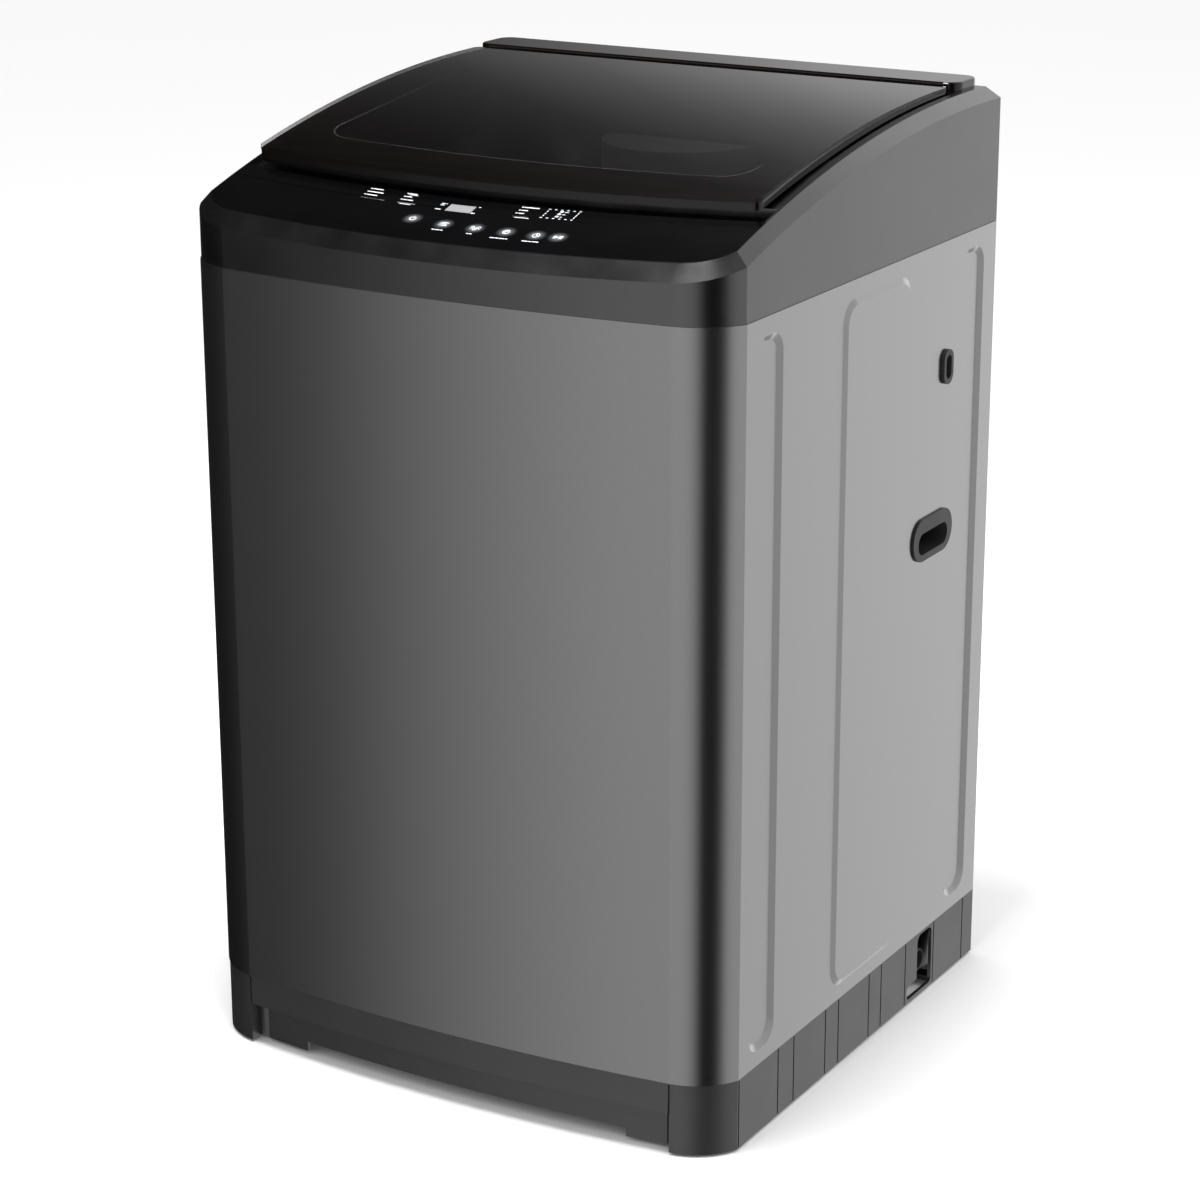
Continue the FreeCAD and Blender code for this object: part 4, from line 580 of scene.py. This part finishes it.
def window_bead(material):
    """The moulded lip round the window, just under the glass. Its light grey is a painted highlight along the
    window's edge.
    """
    surface = surface_of("lid_glass")
    rings = []
    made = bmesh.new()
    places = []
    for x, y in window_outline():
        hit = surface.ray_cast(Vector((x, y, HEIGHT / 2)), Vector((0, 0, 1)))[0]
        places.append(hit - Vector((0, 0, BEAD_RADIUS * 1.1)))
    for i, place in enumerate(places):
        along = (places[(i + 1) % len(places)] - places[i - 1]).normalized()
        side = along.cross(Vector((0, 0, 1))).normalized()
        up = side.cross(along)
        rings.append([made.verts.new(place + (side * math.cos(a) + up * math.sin(a)) * BEAD_RADIUS)
                      for a in (2 * math.pi * j / BEAD_SIDES for j in range(BEAD_SIDES))])
    for i, ring in enumerate(rings):
        following = rings[(i + 1) % len(rings)]
        for j in range(BEAD_SIDES):
            k = (j + 1) % BEAD_SIDES
            made.faces.new((ring[j], ring[k], following[k], following[j]))
    bmesh.ops.recalc_face_normals(made, faces=made.faces)
    for face in made.faces:
        face.smooth = True
    mesh = bpy.data.meshes.new("window_bead")
    made.to_mesh(mesh)
    made.free()
    return new_piece("window_bead", mesh, "lid", material)


# ---------------------------------------------------------------- finishes of the CAD nodes

def key_centres():
    """Places of the painted glow round the touch keys, on the panel's surface."""
    return [(u * MM, bow_y(u * MM, v * MM), 0.0) for u, v in (POWER_KEY, *MIDDLE_KEYS, START_KEY)]


def finishes():
    """Material for each of the record's slots."""
    return {
        "cabinet_paint": metallic_paint(),
        "cover_paint": moulded("cover_paint", grey(0.20), 0.22, 1500.0, 0.000003, 1.0, 0.05),
        "base_plastic": moulded("base_plastic", grey(0.16), 0.36, 1300.0, 0.00001, 0.92, 0.06),
        "zinc_steel": zinc_plate(),
        "bright_steel": turned_steel(),
        "dark_plastic": moulded("dark_plastic", grey(0.022), 0.42, 1300.0, 0.00005),
        "gloss_black": gloss_black("gloss_black", (0.0022, 0.0014, 0.0011)),
        "display": smoked_display(),
        "board": circuit_board(),
        "lid_glass": tinted_glass(),
        "rubber": rubber(),
        "tub_plastic": moulded("tub_plastic", (0.60, 0.61, 0.62), 0.44, 900.0, 0.00005),
        "grey_plastic": moulded("grey_plastic", (0.30, 0.31, 0.325), 0.40, 1000.0, 0.00005),
        "stainless": brushed_stainless(),
        "motor_core": motor_core(),
    }


def dress(made):
    """Gives each CAD node the finish of its slot."""
    own = {
        "control_panel": gloss_black("panel_black_painted_glow", (0.0010, 0.0010, 0.0012), key_centres()),
        "detergent_drawer": moulded("drawer_grey", grey(0.085), 0.38, 1300.0, 0.00003),
    }
    for name, item in nodes.items():
        for place in item.material_slots:
            slot = place.material.name.split(".")[0]
            place.material = own.get(name, made[slot])


# ---------------------------------------------------------------- camera, light and floor

CAMERA_AZIMUTH = 30.59       # degrees round from the front, towards the right side
CAMERA_PITCH = 17.95         # degrees below level
CAMERA_ROLL = 0.156
CAMERA_PLACE = Vector((1.7236, -2.9073, 1.5642))
CAMERA_LENS = 97.66
SENSOR = 36.0
FAR = 60.0                   # metres the camera sees
LAMP_TARGET = Vector((0.0, 0.0, 0.5))
FLOOR_SIDE = 40.0


def camera():
    data = bpy.data.cameras.new("camera")
    data.sensor_width = SENSOR
    data.lens = CAMERA_LENS
    data.clip_end = FAR
    made = bpy.data.objects.new("camera", data)
    bpy.context.scene.collection.objects.link(made)
    made.location = CAMERA_PLACE
    turn = Euler((math.radians(90 - CAMERA_PITCH), 0.0, math.radians(CAMERA_AZIMUTH))).to_matrix()
    roll = Euler((0.0, 0.0, -math.radians(CAMERA_ROLL))).to_matrix()
    made.rotation_euler = (turn @ roll).to_euler()
    bpy.context.scene.camera = made


def softbox(name, azimuth, elevation, distance, size, power):
    """A soft rectangular lamp aimed at the machine.  Azimuth 0 is in front, 90 to the right."""
    data = bpy.data.lights.new(name, "AREA")
    data.shape = "RECTANGLE"
    data.size, data.size_y = size
    data.energy = power
    lamp = bpy.data.objects.new(name, data)
    bpy.context.scene.collection.objects.link(lamp)
    a, e = math.radians(azimuth), math.radians(elevation)
    away = Vector((math.sin(a) * math.cos(e), -math.cos(a) * math.cos(e), math.sin(e)))
    lamp.location = LAMP_TARGET + away * distance
    lamp.rotation_euler = away.to_track_quat("Z", "Y").to_euler()
    lamp.visible_camera = False
    lamp.visible_glossy = False
    return lamp


# What polished surfaces mirror: brightness of the room by azimuth in degrees, and its share by elevation.
# The dark wall from 33 to 61 and the one from -144 to -45 give the paint and the lid their long gradients.
ROOM_BY_AZIMUTH = (
    (-180.0, 1.10), (-156.0, 0.60), (-151.0, 0.30), (-148.0, 0.15), (-144.0, 0.06), (-136.0, 0.02),
    (-120.0, 0.01), (-60.0, 0.02), (-45.0, 0.07), (-38.0, 0.17), (-31.0, 0.28), (-24.0, 0.38), (-16.0, 0.45),
    (3.0, 0.46), (12.0, 0.43), (20.0, 0.35), (27.0, 0.22), (33.0, 0.10), (40.0, 0.012), (52.0, 0.012),
    (61.0, 0.05), (73.0, 0.27), (85.0, 0.46), (110.0, 0.52), (149.0, 0.56), (153.0, 0.68), (158.0, 0.90),
    (175.0, 1.10), (180.0, 1.10),
)
ROOM_BY_ELEVATION = ((-90.0, 0.8), (-30.0, 0.9), (-10.0, 1.0), (42.0, 1.0), (56.0, 0.35), (90.0, 0.30))


def studio_world():
    """White to the eye and as soft fill; polished surfaces mirror a room with bright and dark walls."""
    world = bpy.data.worlds.new("studio")
    bpy.context.scene.world = world
    world.use_nodes = True
    tree = world.node_tree
    tree.nodes.clear()

    def add(kind, values, **settings):
        made = tree.nodes.new(kind)
        for key, value in settings.items():
            setattr(made, key, value)
        for key, value in values.items():
            if isinstance(value, bpy.types.NodeSocket):
                tree.links.new(value, made.inputs[key])
            else:
                made.inputs[key].default_value = value
        return made

    def profile(angle, stops, start, end):
        """A brightness that follows stops of (degrees, level)."""
        share = add("ShaderNodeMapRange", {"Value": angle, "From Min": math.radians(start),
                                           "From Max": math.radians(end)}).outputs[0]
        made = add("ShaderNodeFloatCurve", {"Value": share})
        curve = made.mapping.curves[0]
        made.mapping.use_clip = False
        while len(curve.points) < len(stops):
            curve.points.new(0.5, 0.5)
        for point, (degrees, level) in zip(curve.points, stops):
            point.location = ((degrees - start) / (end - start), level)
            point.handle_type = "AUTO_CLAMPED"
        made.mapping.update()
        return made.outputs[0]

    direction = add("ShaderNodeTexCoord", {}).outputs["Generated"]
    split = add("ShaderNodeSeparateXYZ", {0: direction}).outputs
    towards = add("ShaderNodeMath", {0: split[1], 1: -1.0}, operation="MULTIPLY").outputs[0]
    azimuth = add("ShaderNodeMath", {0: split[0], 1: towards}, operation="ARCTAN2").outputs[0]
    elevation = add("ShaderNodeMath", {0: split[2]}, operation="ARCSINE").outputs[0]
    level = add("ShaderNodeMath", {0: profile(azimuth, ROOM_BY_AZIMUTH, -180.0, 180.0),
                                   1: profile(elevation, ROOM_BY_ELEVATION, -90.0, 90.0)},
                operation="MULTIPLY").outputs[0]
    room = add("ShaderNodeBackground", {"Color": (1.0, 1.0, 1.0, 1.0), "Strength": level})
    white = add("ShaderNodeBackground", {"Color": (1.0, 1.0, 1.0, 1.0), "Strength": 1.0})
    mirrored = add("ShaderNodeLightPath", {}).outputs["Is Glossy Ray"]
    both = add("ShaderNodeMixShader", {0: mirrored, 1: white.outputs[0], 2: room.outputs[0]})
    add("ShaderNodeOutputWorld", {"Surface": both.outputs[0]})


def floor():
    made = bmesh.new()
    bmesh.ops.create_grid(made, x_segments=4, y_segments=4, size=FLOOR_SIDE / 2)
    mesh = bpy.data.meshes.new("floor")
    made.to_mesh(mesh)
    made.free()
    s = Shader("floor")
    base = s.tones(s.noise(0.4, 2.0), (0.93, 0.93, 0.93), 0.01)
    mesh.materials.append(s.finish(Base_Color=base, Roughness=0.9, Specular_IOR_Level=0.0))
    plane = bpy.data.objects.new("floor", mesh)
    bpy.context.scene.collection.objects.link(plane)
    plane.visible_glossy = False


def studio():
    studio_world()
    floor()
    softbox("right", 110.0, 40.0, 3.4, (2.4, 2.4), 22.0)
    overhead = softbox("top", 0.0, 80.0, 2.6, (0.8, 0.8), 80.0)
    overhead.visible_glossy = True
    bpy.context.scene.view_settings.view_transform = "Standard"


# ---------------------------------------------------------------- all of it

camera()
studio()
made = finishes()
dress(made)
ink = printed_white()
key_marks(ink)
caption_marks(ink)
perforated_drum(made["stainless"])
# the bead's light grey is a painted highlight line round the window
window_bead(moulded("bead_painted_highlight", grey(0.30), 0.32, 1200.0, 0.000005))
